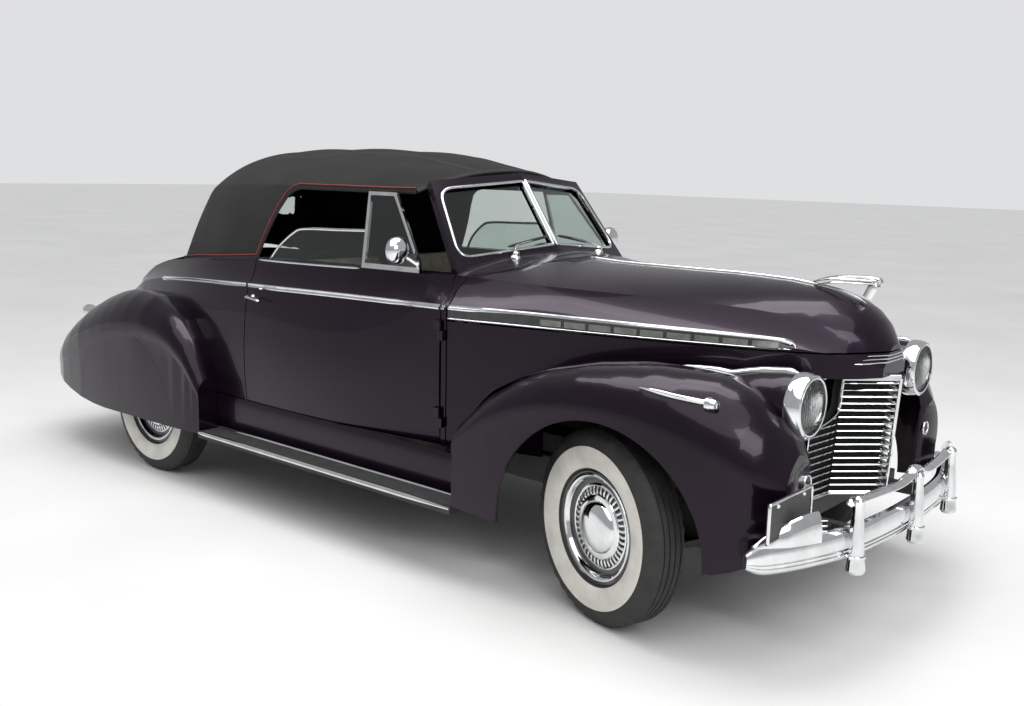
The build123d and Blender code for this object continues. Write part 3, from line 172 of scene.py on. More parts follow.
TRIM_PAINT = surface("dash_paint", (0.030, 0.018, 0.026), (0.050, 0.032, 0.044), 6.0, (0.2, 0.32), 0.0,
                     ("noise", 300.0, 0.05, 0.0005), Coat_Weight=0.6, Coat_Roughness=0.08)
BAKELITE = surface("wheel_rim_plastic", (0.055, 0.045, 0.038), (0.10, 0.085, 0.07), 24.0, (0.18, 0.3), 0.0,
                   ("noise", 260.0, 0.05, 0.0004), Coat_Weight=0.4, Coat_Roughness=0.1)
DIAL = surface("dial_face", (0.42, 0.39, 0.32), (0.55, 0.52, 0.44), 40.0, (0.35, 0.5), 0.0,
               ("noise", 500.0, 0.05, 0.0003))
PLATE = surface("plate_black", (0.014, 0.014, 0.015), (0.032, 0.031, 0.03), 16.0, (0.35, 0.5), 0.0,
                ("noise", 180.0, 0.1, 0.0006))
# Near-black look for the sheet behind the grille bars: painted shade in the gaps between them
GRILLE_SHADE_SHEET = surface("grille_painted_shade_sheet", (0.004, 0.004, 0.004), (0.012, 0.012, 0.012), 20.0, (0.7, 0.9), 0.0,
                 ("cells", 160.0, 0.8, 0.003))
# Dark look for the channels of the strips: painted shade in the recess
PAINTED_SHADE_RECESS = surface("strip_recess", (0.030, 0.028, 0.030), (0.055, 0.052, 0.055), 40.0, (0.3, 0.45), 0.0,
                 ("noise", 300.0, 0.1, 0.0004))
RECESS_PALE = surface("strip_recess_pale", (0.15, 0.15, 0.14), (0.25, 0.25, 0.235), 30.0, (0.3, 0.45), 0.3,
                      ("noise", 300.0, 0.1, 0.0004))

NODE_LOOKS = {
    PAINT: ("cowl", "rear_body", "front_panels", "front_fenders", "rear_fenders", "hood", "door_right",
            "door_left",
            "boot_lid"),
    CHASSIS: ("frame", "engine", "gearbox", "rear_axle", "front_suspension", "floor", "fuel_tank", "exhaust",
              "radiator", "knuckle_right", "knuckle_left", "tie_rod"),
    CHROME: ("grille", "front_bumper", "rear_bumper", "lamp_bodies", "hood_ornament", "door_frame_right",
             "door_frame_left"),
    GLASS: ("fixed_glass", "door_glass_right", "door_glass_left"),
    LENS: ("lamp_lenses",),
    CANVAS: ("soft_top",),
    MAT_RUBBER: ("running_boards",),
    PLATE: ("number_plate",),
    TRIM_PAINT: ("dashboard",),
    BAKELITE: ("steering_wheel",),
    LEATHER: ("front_seat", "rear_seat"),
    RUBBER: tuple(f"tyre_{end}_{hand}" for end in ("front", "rear") for hand in ("right", "left")),
    ENAMEL: tuple(f"wheel_{end}_{hand}" for end in ("front", "rear") for hand in ("right", "left")),
}


def smoothing_group():
    """Joins split corners, then shades smooth except across edges sharper than a set angle."""
    group = bpy.data.node_groups.new("smooth_by_angle", "GeometryNodeTree")
    group.interface.new_socket("Geometry", in_out="INPUT", socket_type="NodeSocketGeometry")
    group.interface.new_socket("Geometry", in_out="OUTPUT", socket_type="NodeSocketGeometry")
    start, end = group.nodes.new("NodeGroupInput"), group.nodes.new("NodeGroupOutput")
    bare = group.nodes.new("GeometryNodeRemoveAttribute")
    bare.inputs["Name"].default_value = "custom_normal"
    merge = group.nodes.new("GeometryNodeMergeByDistance")
    merge.inputs["Distance"].default_value = 0.00002
    smooth = group.nodes.new("GeometryNodeSetShadeSmooth")
    sharp = group.nodes.new("GeometryNodeSetShadeSmooth")
    sharp.domain = "EDGE"
    sharp.inputs["Shade Smooth"].default_value = False
    angle = group.nodes.new("GeometryNodeInputMeshEdgeAngle")
    over = group.nodes.new("FunctionNodeCompare")
    over.inputs["B"].default_value = math.radians(26)
    links = group.links
    links.new(start.outputs[0], bare.inputs["Geometry"])
    links.new(bare.outputs["Geometry"], merge.inputs["Geometry"])
    links.new(merge.outputs["Geometry"], smooth.inputs["Geometry"])
    links.new(smooth.outputs["Geometry"], sharp.inputs["Geometry"])
    links.new(angle.outputs["Unsigned Angle"], over.inputs["A"])
    links.new(over.outputs["Result"], sharp.inputs["Selection"])
    links.new(sharp.outputs["Geometry"], end.inputs[0])
    return group


SMOOTH = smoothing_group()
for look, names in NODE_LOOKS.items():
    for name in names:
        part = NODES[name]
        part.data.materials.clear()
        part.data.materials.append(look)
        part.modifiers.new("smooth", "NODES").node_group = SMOOTH


# Mesh helpers

def piece(name, verts, faces, looks, body, picks=None, smooth=True, flip=False):
    """A mesh that rides on a body. picks gives each face its look; flip mirrors it to the other side."""
    if flip:
        verts = [Vector((v[0], -v[1], v[2])) for v in verts]
        faces = [tuple(reversed(face)) for face in faces]
    mesh = bpy.data.meshes.new(name)
    mesh.from_pydata([tuple(v) for v in verts], [], faces)
    looks = looks if isinstance(looks, (list, tuple)) else [looks]
    for look in looks:
        mesh.materials.append(look)
    for face in mesh.polygons:
        face.use_smooth = smooth
        if picks:
            face.material_index = picks[face.index]
    made = bpy.data.objects.new(name, mesh)
    bpy.context.scene.collection.objects.link(made)
    clean = bmesh.new()
    clean.from_mesh(mesh)
    bmesh.ops.remove_doubles(clean, verts=clean.verts, dist=1e-6)
    bmesh.ops.recalc_face_normals(clean, faces=clean.faces)
    clean.to_mesh(mesh)
    clean.free()
    if smooth:
        made.modifiers.new("smooth", "NODES").node_group = SMOOTH
    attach(made, body)
    return made


def tree_of(*names):
    """A ray-casting tree over CAD nodes or other objects."""
    verts, faces = [], []
    for name in names:
        mesh = (NODES[name] if isinstance(name, str) else name).data
        base = len(verts)
        verts += [v.co.copy() for v in mesh.vertices]
        faces += [tuple(base + i for i in face.vertices) for face in mesh.polygons]
    return BVHTree.FromPolygons(verts, faces)


def cast(tree, starts, direction):
    """Where rays from starts land, as (place, normal) pairs with the normals smoothed along the run."""
    direction = Vector(direction)
    found = []
    for start in starts:
        place, normal, _, _ = tree.ray_cast(start, direction)
        if place is not None:
            found.append((place, normal if normal.dot(direction) < 0 else -normal))
    even = []
    for n in range(len(found)):
        near = found[max(0, n - 3):n + 4]
        even.append((found[n][0], sum((item[1] for item in near), Vector()).normalized()))
    return even


def run(points, count):
    """count points spread along a polyline by length, rounded by a Catmull-Rom curve."""
    fine = []
    for n in range(len(points) - 1):
        p0, p1, p2, p3 = points[max(n - 1, 0)], points[n], points[n + 1], points[min(n + 2, len(points) - 1)]
        for k in range(16):
            t = k / 16
            bend = 2 * p0 - 5 * p1 + 4 * p2 - p3 + t * (3 * p1 - p0 - 3 * p2 + p3)
            fine.append(p1 + 0.5 * t * ((p2 - p0) + t * bend))
    fine.append(points[-1])
    lengths = [0.0]
    for a, b in zip(fine, fine[1:]):
        lengths.append(lengths[-1] + (b - a).length)
    out, k = [], 0
    for n in range(count):
        goal = lengths[-1] * n / (count - 1)
        while k < len(fine) - 2 and lengths[k + 1] < goal:
            k += 1
        part = max(lengths[k + 1] - lengths[k], 1e-9)
        out.append(fine[k].lerp(fine[k + 1], min(1.0, (goal - lengths[k]) / part)))
    return out


def sweep(path, outs, profile, scales=None, closed=False):
    """A profile of (across, out) points carried along a path whose outward directions are given."""
    verts, faces = [], []
    count, wide = len(path), len(profile)
    for n, (place, out) in enumerate(zip(path, outs)):
        ahead = path[(n + 1) % count] if closed or n < count - 1 else place
        behind = path[n - 1] if closed or n > 0 else place
        along = (ahead - behind).normalized()
        side = along.cross(out).normalized()
        rise = side.cross(along).normalized()
        scale = scales[n] if scales else (1.0, 1.0)
        verts += [place + side * a * scale[0] + rise * o * scale[1] for a, o in profile]
    for n in range(count if closed else count - 1):
        m = (n + 1) % count
        for k in range(wide):
            j = (k + 1) % wide
            faces.append((n * wide + k, n * wide + j, m * wide + j, m * wide + k))
    if not closed:
        faces.append(tuple(reversed(range(wide))))
        faces.append(tuple(range((count - 1) * wide, count * wide)))
    return verts, faces


def half_round(width, height, sink=0.004):
    arc = [(math.cos(a) * width / 2, math.sin(a) * height) for a in [math.pi * k / 8 for k in range(9)]]
    return [(-width / 2, -sink), (width / 2, -sink), *arc]


def twin_ribs(width, height, sink=0.004):
    """A moulding with two round ribs and a groove between them."""
    half = width / 2
    shape = [(half, 0.0), (half * 0.92, 0.6), (half * 0.6, 1.0), (half * 0.2, 0.75), (0, 0.42),
             (-half * 0.2, 0.75),
             (-half * 0.6, 1.0), (-half * 0.92, 0.6), (-half, 0.0)]
    return [(-half, -sink), (half, -sink), *[(a, o * height) for a, o in shape]]


def circle(radius, count=10, flat=1.0):
    turns = [2 * math.pi * k / count for k in range(count)]
    return [(math.cos(a) * radius, math.sin(a) * radius * flat) for a in turns]


def ends(count, first, last, least=0.12):
    """Scales that narrow a strip over its first and last points."""
    found = []
    for n in range(count):
        share = 1.0
        if first and n < first:
            share = min(share, least + (1 - least) * math.sin(math.pi / 2 * n / first))
        if last and count - 1 - n < last:
            share = min(share, least + (1 - least) * math.sin(math.pi / 2 * (count - 1 - n) / last))
        found.append((share, share))
    return found


def strip(name, tree, guide, direction, profile, look, body, count=60, taper=(3, 3), flip=False):
    """A moulding laid on a surface under a guide line."""
    landed = cast(tree, run(guide, count), direction)
    path, outs = [p for p, _ in landed], [n for _, n in landed]
    return piece(name, *sweep(path, outs, profile, ends(len(path), *taper)), look, body, flip=flip)


def tube(name, points, radius, look, body, count=24, closed=False, up=(0, 0, 1), flat=1.0, flip=False,
         taper=(0, 0)):
    """A round or flattened bar along a smooth line."""
    path = points if closed else run(points, count)
    scales = None if closed else ends(len(path), *taper, least=0.35)
    return piece(name, *sweep(path, [Vector(up)] * len(path), circle(radius, 10, flat), scales, closed),
                 look, body, flip=flip)


def lathe(profile, origin, axis, steps, ripple=None):
    """A profile of (radius, along) points turned about an axis; also gives each face's profile index."""
    axis = Vector(axis).normalized()
    side = axis.cross(Vector((0, 0, 1))).normalized()
    over = side.cross(axis).normalized()
    verts, faces, picks = [], [], []
    for j in range(steps):
        turn = 2 * math.pi * j / steps
        ray = side * math.cos(turn) + over * math.sin(turn)
        for i, (radius, along) in enumerate(profile):
            if ripple:
                radius, along = ripple(i, j, radius, along)
            verts.append(Vector(origin) + ray * (radius / 1000) + axis * (along / 1000))
    wide = len(profile)
    for j in range(steps):
        k = (j + 1) % steps
        for i in range(wide - 1):
            faces.append((j * wide + i, j * wide + i + 1, k * wide + i + 1, k * wide + i))
            picks.append(i)
    return verts, faces, picks


def turned(name, profile, origin, axis, look, body, steps=48, flip=False):
    verts, faces, _ = lathe(profile, origin, axis, steps)
    return piece(name, verts, faces, look, body, flip=flip)


def joined(parts):
    """Several (verts, faces) lists as one."""
    verts, faces = [], []
    for part_verts, part_faces in parts:
        base = len(verts)
        verts += part_verts
        faces += [tuple(base + i for i in face) for face in part_faces]
    return verts, faces


def panel(name, tree, grid, direction, lift, look, body, flip=False):
    """A lining laid on a surface: grid is rows of start points for rays along direction."""
    direction = Vector(direction)
    verts, faces = [], []
    wide = len(grid[0])
    for row in grid:
        for start in row:
            place, _, _, _ = tree.ray_cast(start, direction)
            verts.append((place if place is not None else start) - direction * lift)
    for r in range(len(grid) - 1):
        for c in range(wide - 1):
            faces.append((r * wide + c, r * wide + c + 1, (r + 1) * wide + c + 1, (r + 1) * wide + c))
    return piece(name, verts, faces, look, body, flip=flip)


HANDS = (("right", False), ("left", True))

# Camera, floor and light
camera_data = bpy.data.cameras.new("camera")
camera = bpy.data.objects.new("camera", camera_data)
bpy.context.scene.collection.objects.link(camera)
bpy.context.scene.camera = camera
camera_data.sensor_width = 36.0
camera_data.lens = 37.66
CAMERA_YAW, CAMERA_PITCH, CAMERA_ROLL = math.radians(130.117), math.radians(-9.797), math.radians(1.431)
look_along = Vector((math.cos(CAMERA_PITCH) * math.cos(CAMERA_YAW),
                     math.cos(CAMERA_PITCH) * math.sin(CAMERA_YAW),
                     math.sin(CAMERA_PITCH)))
level = Vector((math.sin(CAMERA_YAW), -math.cos(CAMERA_YAW), 0))
upright = level.cross(look_along)
right_axis = level * math.cos(CAMERA_ROLL) + upright * math.sin(CAMERA_ROLL)
up_axis = upright * math.cos(CAMERA_ROLL) - level * math.sin(CAMERA_ROLL)
turn = Matrix((right_axis, up_axis, -look_along)).transposed().to_4x4()
camera.matrix_world = Matrix.Translation((3.6815, -3.779, 1.610)) @ turn
bpy.context.scene.view_settings.view_transform = "Standard"

FLOOR_LOOK = surface("studio_floor", (0.70, 0.70, 0.69), (0.76, 0.76, 0.75), 0.7, (0.45, 0.6), 0.0,
                     ("noise", 60.0, 0.02, 0.001))
floor_mesh = bpy.data.meshes.new("studio_floor")
floor_mesh.from_pydata([(-60, -60, 0), (60, -60, 0), (60, 60, 0), (-60, 60, 0)], [], [(0, 1, 2, 3)])
floor_mesh.materials.append(FLOOR_LOOK)
studio_floor = bpy.data.objects.new("studio_floor", floor_mesh)
bpy.context.scene.collection.objects.link(studio_floor)

world = bpy.data.worlds.new("studio")
bpy.context.scene.world = world
world.use_nodes = True
sky = world.node_tree.nodes["Background"]
sky.inputs["Color"].default_value = (0.80, 0.81, 0.83, 1)
sky.inputs["Strength"].default_value = 0.5
backdrop = node(world.node_tree, "ShaderNodeBackground")
backdrop.inputs["Color"].default_value = (0.74, 0.745, 0.755, 1)
ray = node(world.node_tree, "ShaderNodeLightPath")
seen = node(world.node_tree, "ShaderNodeMixShader")
world.node_tree.links.new(ray.outputs["Is Camera Ray"], seen.inputs["Fac"])
world.node_tree.links.new(sky.outputs["Background"], seen.inputs[1])
world.node_tree.links.new(backdrop.outputs["Background"], seen.inputs[2])
world.node_tree.links.new(seen.outputs["Shader"], world.node_tree.nodes["World Output"].inputs["Surface"])


def soft_light(name, place, target, size, power):
    """A rectangular lamp that faces a target."""
    data = bpy.data.lights.new(name, "AREA")
    data.shape = "RECTANGLE"
    data.size, data.size_y = size
    data.energy = power
    made = bpy.data.objects.new(name, data)
    bpy.context.scene.collection.objects.link(made)
    made.location = place
    made.rotation_euler = (Vector(target) - Vector(place)).to_track_quat("-Z", "Y").to_euler()


soft_light("overhead", (0.4, -0.4, 5.4), (0, 0, 0.8), (6.0, 2.4), 210)
soft_light("front_side", (6.0, -2.0, 3.4), (0.8, 0, 0.7), (2.6, 2.2), 90)
sun_data = bpy.data.lights.new("broad", "SUN")
sun_data.energy = 1.7
sun_data.angle = math.radians(70)
sun = bpy.data.objects.new("broad", sun_data)
bpy.context.scene.collection.objects.link(sun)
sun.rotation_euler = Vector((-0.25, 0.35, -1)).to_track_quat("-Z", "Y").to_euler()

# Tyres and wheels
TREAD = [(352, -52), (355, -46), (355, -38), (349.5, -37), (349.5, -34), (355, -33), (355, -15), (349.5, -14),
         (349.5, -10), (355, -9), (355, 9), (349.5, 10), (349.5, 14), (355, 15), (355, 33), (349.5, 34),
         (349.5, 37),
         (355, 38), (355, 46), (352, 52)]
INNER_WALL = [(206, -57), (214, -66), (232, -75), (262, -79.5), (298, -78), (326, -72), (342, -64)]
OUTER_WALL = [(342, 64), (326, 72), (302, 77), (297, 78.5), (294, 80), (280, 80), (256, 79.5), (230, 75),
              (214, 67),
              (206, 57)]
TYRE = INNER_WALL + TREAD + OUTER_WALL
WHITE_FROM, WHITE_TO = TYRE.index((294, 80)), TYRE.index((214, 67))
SHOULDERS = {TYRE.index((342, -64)), TYRE.index((342, 64)), TYRE.index((352, -52)), TYRE.index((352, 52))}
TYRE_STEPS = 160


def lugged(i, j, radius, along):
    """Shoulder blocks: every other pair of steps drops a little."""
    if i in SHOULDERS and j % 4 < 2:
        return radius - 3.5, along * 0.985
    return radius, along


# Columns: radius, along the axle from the middle of the tyre to the outside; looks change at the named radii
RIM = [(22, -40), (46, -40), (60, -22), (150, -18), (188, -32), (192, -58), (205, -58), (205, 57),
       (207, 60), (203, 62),
       (198, 60), (195, 56)]
TRIM_RING = [(195, 56), (193, 59), (188, 60), (182, 57), (178, 50), (176, 44)]
DISC = [(176, 44), (171, 38), (163, 35), (156, 34)]
INNER_RING = [(156, 34), (155, 38), (150, 40), (146, 38), (145, 33)]
SLOT_BED = [(145, 33), (133, 31), (120, 35)]
CAP = [(120, 35), (119, 42), (115, 46), (106, 48), (97, 48), (95, 51), (92, 56), (84, 63), (70, 69),
       (52, 74), (28, 77), (0, 78)]
WHEEL = RIM + TRIM_RING[1:] + DISC[1:] + INNER_RING[1:] + SLOT_BED[1:] + CAP[1:]
BRIGHT = set()
start = len(RIM) - 1
for band, bright in ((TRIM_RING, True), (DISC, False), (INNER_RING, True), (SLOT_BED, False), (CAP, True)):
    if bright:
        BRIGHT |= set(range(start, start + len(band) - 1))
    start += len(band) - 1
SLOTS = 40

for end in ("front", "rear"):
    for hand, side in (("right", -1), ("left", 1)):
        spin = JOINTS[f"wheel_{end}_{hand}_spin"]
        body = f"wheel_{end}_{hand}"
        centre, outward = Vector(spin["pos_m"]), Vector(spin["axis"]) * side
        verts, faces, picks = lathe(TYRE, centre, outward, TYRE_STEPS, lugged)
        looks = [1 if WHITE_FROM <= p < WHITE_TO else 0 for p in picks]
        tyre = piece(f"tyre_dressed_{end}_{hand}", verts, faces, [RUBBER, WHITEWALL], body, looks)
        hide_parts(f"tyre_{end}_{hand}")
        verts, faces, picks = lathe(WHEEL, centre, outward, 72)
        looks = [1 if p in BRIGHT else 0 for p in picks]
        wheel = piece(f"wheel_dressed_{end}_{hand}", verts, faces, [ENAMEL, CHROME], body, looks)
        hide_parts(f"wheel_{end}_{hand}")
        across = outward.cross(Vector((0, 0, 1))).normalized()
        over = across.cross(outward).normalized()
        ribs = []
        for n in range(SLOTS):
            a = 2 * math.pi * n / SLOTS
            ray = across * math.cos(a) + over * math.sin(a)
            path = [centre + ray * (r / 1000) + outward * (o / 1000) for r,
                    o in ((118, 37), (124, 39), (133, 38), (141, 36), (147, 34))]
            ribs.append(sweep(path, [outward] * 5, half_round(0.0105, 0.0035), ends(5, 1, 1, 0.6)))
        piece(f"wheel_ribs_{end}_{hand}", *joined(ribs), CHROME, body)

# Fabric top: one sheet from the windscreen header to the deck
# Columns: x, half width at the bottom, half width and height of the shoulder, crown height
TOP_ROWS = [
    (-1080, 612, 560, 1490, 1590),
    (-1500, 676, 606, 1515, 1668),
    (-1950, 704, 614, 1510, 1690),
    (-2400, 690, 590, 1498, 1684),
    (-2700, 622, 508, 1480, 1658),
    (-2890, 556, 434, 1400, 1588),
    (-3020, 500, 376, 1275, 1436),
    (-3144, 436, 318, 1110, 1150),
]
TOP_FOOT = 1040.0
WALL_BULGE = 26
BOW_SAG = 7.0
# Columns: x, height of the sheet's lower edge
TOP_EDGE = [(-1080, 1503), (-1880, 1503), (-1925, 1492), (-1965, 1466), (-2005, 1400), (-2055, 1290),
            (-2112, 1166),
            (-2121, 1166), (-2700, 1120), (-3150, 1070)]
BOWS = (-1170, -1560, -1980, -2380, -2700)


def table_at(rows, x):
    """One row of a table at x, eased between its neighbours."""
    for n in range(len(rows) - 1):
        if rows[n][0] >= x >= rows[n + 1][0] or n == len(rows) - 2:
            break
    p0, p1, p2, p3 = rows[max(n - 1, 0)], rows[n], rows[n + 1], rows[min(n + 2, len(rows) - 1)]
    t = (x - p1[0]) / (p2[0] - p1[0])
    found = []
    for k in range(1, len(p1)):
        m1 = (p2[k] - p0[k]) / (p2[0] - p0[0]) * (p2[0] - p1[0])
        m2 = (p3[k] - p1[k]) / (p3[0] - p1[0]) * (p2[0] - p1[0])
        near = p1[k] * (1 + 2 * t) * (1 - t) ** 2 + m1 * t * (1 - t) ** 2
        found.append(near + p2[k] * t * t * (3 - 2 * t) - m2 * t * t * (1 - t))
    return found


def line_at(rows, x):
    """The height of a line of (x, height) points at x."""
    for (xa, za), (xb, zb) in zip(rows, rows[1:]):
        if xa >= x >= xb:
            return za + (zb - za) * (xa - x) / (xa - xb)
    return rows[-1][1]


def arc_points(a, via, b, count):
    """Points on the circle arc from a through via to b in a plane."""
    ax, ay, bx, by, cx, cy = *a, *via, *b
    d = 2 * (ax * (by - cy) + bx * (cy - ay) + cx * (ay - by))
    aa, bb, cc = (x * x + y * y for x, y in (a, via, b))
    ux = (aa * (by - cy) + bb * (cy - ay) + cc * (ay - by)) / d
    uy = (aa * (cx - bx) + bb * (ax - cx) + cc * (bx - ax)) / d
    radius = math.hypot(ax - ux, ay - uy)
    t0, tv, t1 = (math.atan2(p[1] - uy, p[0] - ux) for p in (a, via, b))
    while tv < t0:
        tv += 2 * math.pi
    while t1 < t0:
        t1 += 2 * math.pi
    if tv > t1:
        t1 -= 2 * math.pi
    turns = [t0 + (t1 - t0) * k / count for k in range(count + 1)]
    return [(ux + radius * math.cos(t), uy + radius * math.sin(t)) for t in turns]


def top_section(x, low):
    """The top's outline at x as (y, z) points from the right lower edge to the left one."""
    w_foot, w_sh, z_sh, z_crown = table_at(TOP_ROWS, x)
    length = math.hypot(w_foot - w_sh, z_sh - TOP_FOOT)
    lean = ((w_sh + w_foot) / 2 + (z_sh - TOP_FOOT) / length * WALL_BULGE,
            (z_sh + TOP_FOOT) / 2 + (w_foot - w_sh) / length * WALL_BULGE)
    wall = arc_points((-w_foot, TOP_FOOT), (-lean[0], lean[1]), (-w_sh, z_sh), 24)
    half = wall + arc_points((-w_sh, z_sh), (0, z_crown), (w_sh, z_sh), 40)[1:21]
    keep = [p for p in half if p[1] > low + 0.5]
    cut = len(half) - len(keep)
    if cut > 0:
        (ya, za), (yb, zb) = half[cut - 1], half[cut]
        keep.insert(0, (ya + (yb - ya) * (low - za) / (zb - za), low))
    return keep + [(-y, z) for y, z in reversed(keep[:-1])]


def even_run(points, count):
    """count points spread evenly along a 2-D polyline."""
    lengths = [0.0]
    for a, b in zip(points, points[1:]):
        lengths.append(lengths[-1] + math.dist(a, b))
    out, k = [], 0
    for n in range(count):
        goal = lengths[-1] * n / (count - 1)
        while k < len(points) - 2 and lengths[k + 1] < goal:
            k += 1
        t = (goal - lengths[k]) / max(lengths[k + 1] - lengths[k], 1e-9)
        out.append(tuple(a + (b - a) * t for a, b in zip(points[k], points[k + 1])))
    return out


TOP_WIDE = 121
stations = [-1124 - 756 * k / 42 for k in range(42)] + [-1880 - 241 * k / 36 for k in range(36)] + \
           [-2121 - 1023 * k / 78 for k in range(79)]
sheet_verts, sheet_faces = [], []
for x in stations:
    ease = max(0.0, 1 - (-1124 - x) / 420)
    gap = next(((a, b) for a, b in zip(BOWS, BOWS[1:]) if a >= x >= b), None)
    for k, (y, z) in enumerate(even_run(top_section(x, line_at(TOP_EDGE, x)), TOP_WIDE)):
        crown = max(0.0, 1 - abs(k / (TOP_WIDE - 1) - 0.5) * 2.6)
        sag = BOW_SAG * math.sin(math.pi * (gap[0] - x) / (gap[0] - gap[1])) ** 2 * crown if gap else 0.0
        fold = 1.6 * math.sin(x / 61 + y / 47) * math.sin(x / 173 - z / 90) * (1 - 0.6 * crown)
        sheet_verts.append(at(x - 104 / 620 * abs(y) * ease, y * (1 - fold / 900),
                              z - sag - 1.0 + fold * 0.3))
WINDOW = (-2800, 262, 1308, 1417)
for r in range(len(stations) - 1):
    for c in range(TOP_WIDE - 1):
        face = (r * TOP_WIDE + c, r * TOP_WIDE + c + 1, (r + 1) * TOP_WIDE + c + 1, (r + 1) * TOP_WIDE + c)
        middle = sum((sheet_verts[i] for i in face), Vector()) / 4
        inside = middle.x < WINDOW[0] / 1000 + FRONT_AXLE and abs(middle.y) < WINDOW[1] / 1000
        if inside and WINDOW[2] / 1000 < middle.z < WINDOW[3] / 1000:
            continue
        sheet_faces.append(face)
top_sheet = piece("top_sheet", sheet_verts, sheet_faces, CANVAS, "chassis")
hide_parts("soft_top")
top_tree = tree_of(top_sheet)


def edge_run(column):
    """One lengthwise line of the sheet's points."""
    return [sheet_verts[r * TOP_WIDE + column] for r in range(len(stations))]


for hand, column in (("right", 0), ("left", TOP_WIDE - 1)):
    sign = -1 if hand == "right" else 1
    rim = edge_run(column)
    outs = [Vector((0, sign, 0.12)).normalized()] * len(rim)
    piece(f"top_hem_{hand}", *sweep(rim, outs, half_round(0.024, 0.006, 0.003)), BINDING,
                      "chassis")
    inset = [p + Vector((0, sign * 0.004, 0.014)) for p in rim]
    piece(f"top_piping_{hand}", *sweep(inset, outs, circle(0.0032, 8)), PIPING, "chassis")
for label, row in (("header", 0), ("deck", len(stations) - 1)):
    rim = sheet_verts[row * TOP_WIDE:(row + 1) * TOP_WIDE]
    outs = [Vector((0.35 if row == 0 else -0.5, 0, 1)).normalized()] * len(rim)
    piece(f"top_hem_{label}", *sweep(rim, outs, half_round(0.026, 0.007, 0.003)), BINDING,
                      "chassis")
for hand, share in (("right", 0.33), ("left", 0.67)):
    rim = edge_run(round(share * (TOP_WIDE - 1)))[:120]
    outs = [Vector((0, -0.5 if hand == "right" else 0.5, 1)).normalized()] * len(rim)
    piece(f"top_seam_{hand}", *sweep(rim, outs, half_round(0.016, 0.0022, 0.002)), BINDING,
                      "chassis")


def rounded(corners, radii, count=8):
    """A closed outline of 2-D corners with each corner rounded."""
    found = []
    for n, (corner, radius) in enumerate(zip(corners, radii)):
        here = Vector(corner)
        into = (Vector(corners[n - 1]) - here).normalized()
        away = (Vector(corners[(n + 1) % len(corners)]) - here).normalized()
        a, b = here + into * radius, here + away * radius
        for k in range(count + 1):
            t = k / count
            found.append(a * (1 - t) ** 2 + here * 2 * t * (1 - t) + b * t * t)
    return found


frame_outline = rounded([(-280, 1296), (280, 1296), (250, 1430), (-250, 1430)], [40, 40, 40, 40])
landed = cast(top_tree, [Vector((-2.6, p[0] / 1000, p[1] / 1000)) for p in frame_outline], (1, 0, 0))
spots = [p for p, _ in landed]
outward = [Vector((-0.75, 0, 0.66))] * len(spots)
if len(spots) > 8:
    piece("rear_window_binding",
                      *sweep(spots, outward, half_round(0.036, 0.005, 0.004), closed=True), BINDING,
                      "chassis")
    piece("rear_window_bead", *sweep(spots, outward, circle(0.0045, 8), closed=True), CHROME,
                      "chassis")

# Windscreen: chrome round each pane, painted fillets in the corners, centre bar, wipers
SCREEN_BASE = at(-884, 0, 1266)
SCREEN_SWEEP = Vector((-73, -560, -44)).normalized()
SCREEN_RAKE = Vector((-211, 0, 296))
SCREEN_NORMAL = SCREEN_SWEEP.cross(SCREEN_RAKE).normalized()
if SCREEN_NORMAL.x < 0:
    SCREEN_NORMAL = -SCREEN_NORMAL
SCREEN_UP = SCREEN_SWEEP.cross(SCREEN_NORMAL).normalized()
if SCREEN_UP.z < 0:
    SCREEN_UP = -SCREEN_UP
PANE_CORNERS = [(14, 6), (556, 6), (494, 340), (14, 340)]
PANE_RADII = [10, 74, 70, 12]
cowl_tree = tree_of("cowl")


def on_screen(u, v, out):
    """A point on the right pane: across, up and out from its face."""
    return SCREEN_BASE + SCREEN_SWEEP * (u / 1000) + SCREEN_UP * (v / 1000) + SCREEN_NORMAL * (out / 1000)


for hand, flip in HANDS:
    outline = rounded(PANE_CORNERS, PANE_RADII, 10)
    rim = [on_screen(u, v, 19) for u, v in outline]
    piece(f"screen_bead_{hand}",
          *sweep(rim, [SCREEN_NORMAL] * len(rim), half_round(0.013, 0.005, 0.004), closed=True), CHROME,
          "chassis", flip=flip)
    wide = rounded([(4, -8), (572, -8), (508, 352), (4, 352)], [4, 30, 30, 4], 10)
    for label, face_out in (("front", 18.6), ("back", -18.6)):
        near = [on_screen(u, v, face_out) for u, v in outline]
        far = [on_screen(u, v, face_out) for u, v in wide]
        count = len(near)
        faces = [(n, (n + 1) % count, count + (n + 1) % count, count + n) for n in range(count)]
        piece(f"screen_fillet_{label}_{hand}", near + far, faces, PAINT, "chassis", flip=flip)
    pivot = at(-905, -300, 1256)
    foot = cast(cowl_tree, [pivot + Vector((0.05, 0, 0.2))], (0, 0, -1))
    base = foot[0][0] if foot else pivot
    turned(f"wiper_pivot_{hand}", [(0, 30), (9, 29), (13, 24), (14, 12), (20, 6), (22, 0)], base,
           (0.2, 0, 1), CHROME, "chassis", 20, flip)
    arm_line = [base + Vector((0, 0, 0.026)), on_screen(250, 16, 38), on_screen(140, 34, 30)]
    tube(f"wiper_arm_{hand}", arm_line, 0.0042, CHROME, "chassis", 20, flip=flip, flat=0.6)
    blade_line = [on_screen(285, 22, 27), on_screen(160, 34, 28), on_screen(30, 46, 27)]
    tube(f"wiper_blade_{hand}", blade_line, 0.0045, MAT_RUBBER, "chassis", 20, flip=flip, flat=1.5,
         taper=(2, 2))
BAR_FOOT = Vector((SCREEN_BASE.x, 0, SCREEN_BASE.z))
BAR_LIFT = Vector((0.020, 0, 0.012))
centre_bar = [BAR_FOOT + SCREEN_RAKE * (t / 1000) + BAR_LIFT for t in (0, 0.33, 0.66, 0.95)]
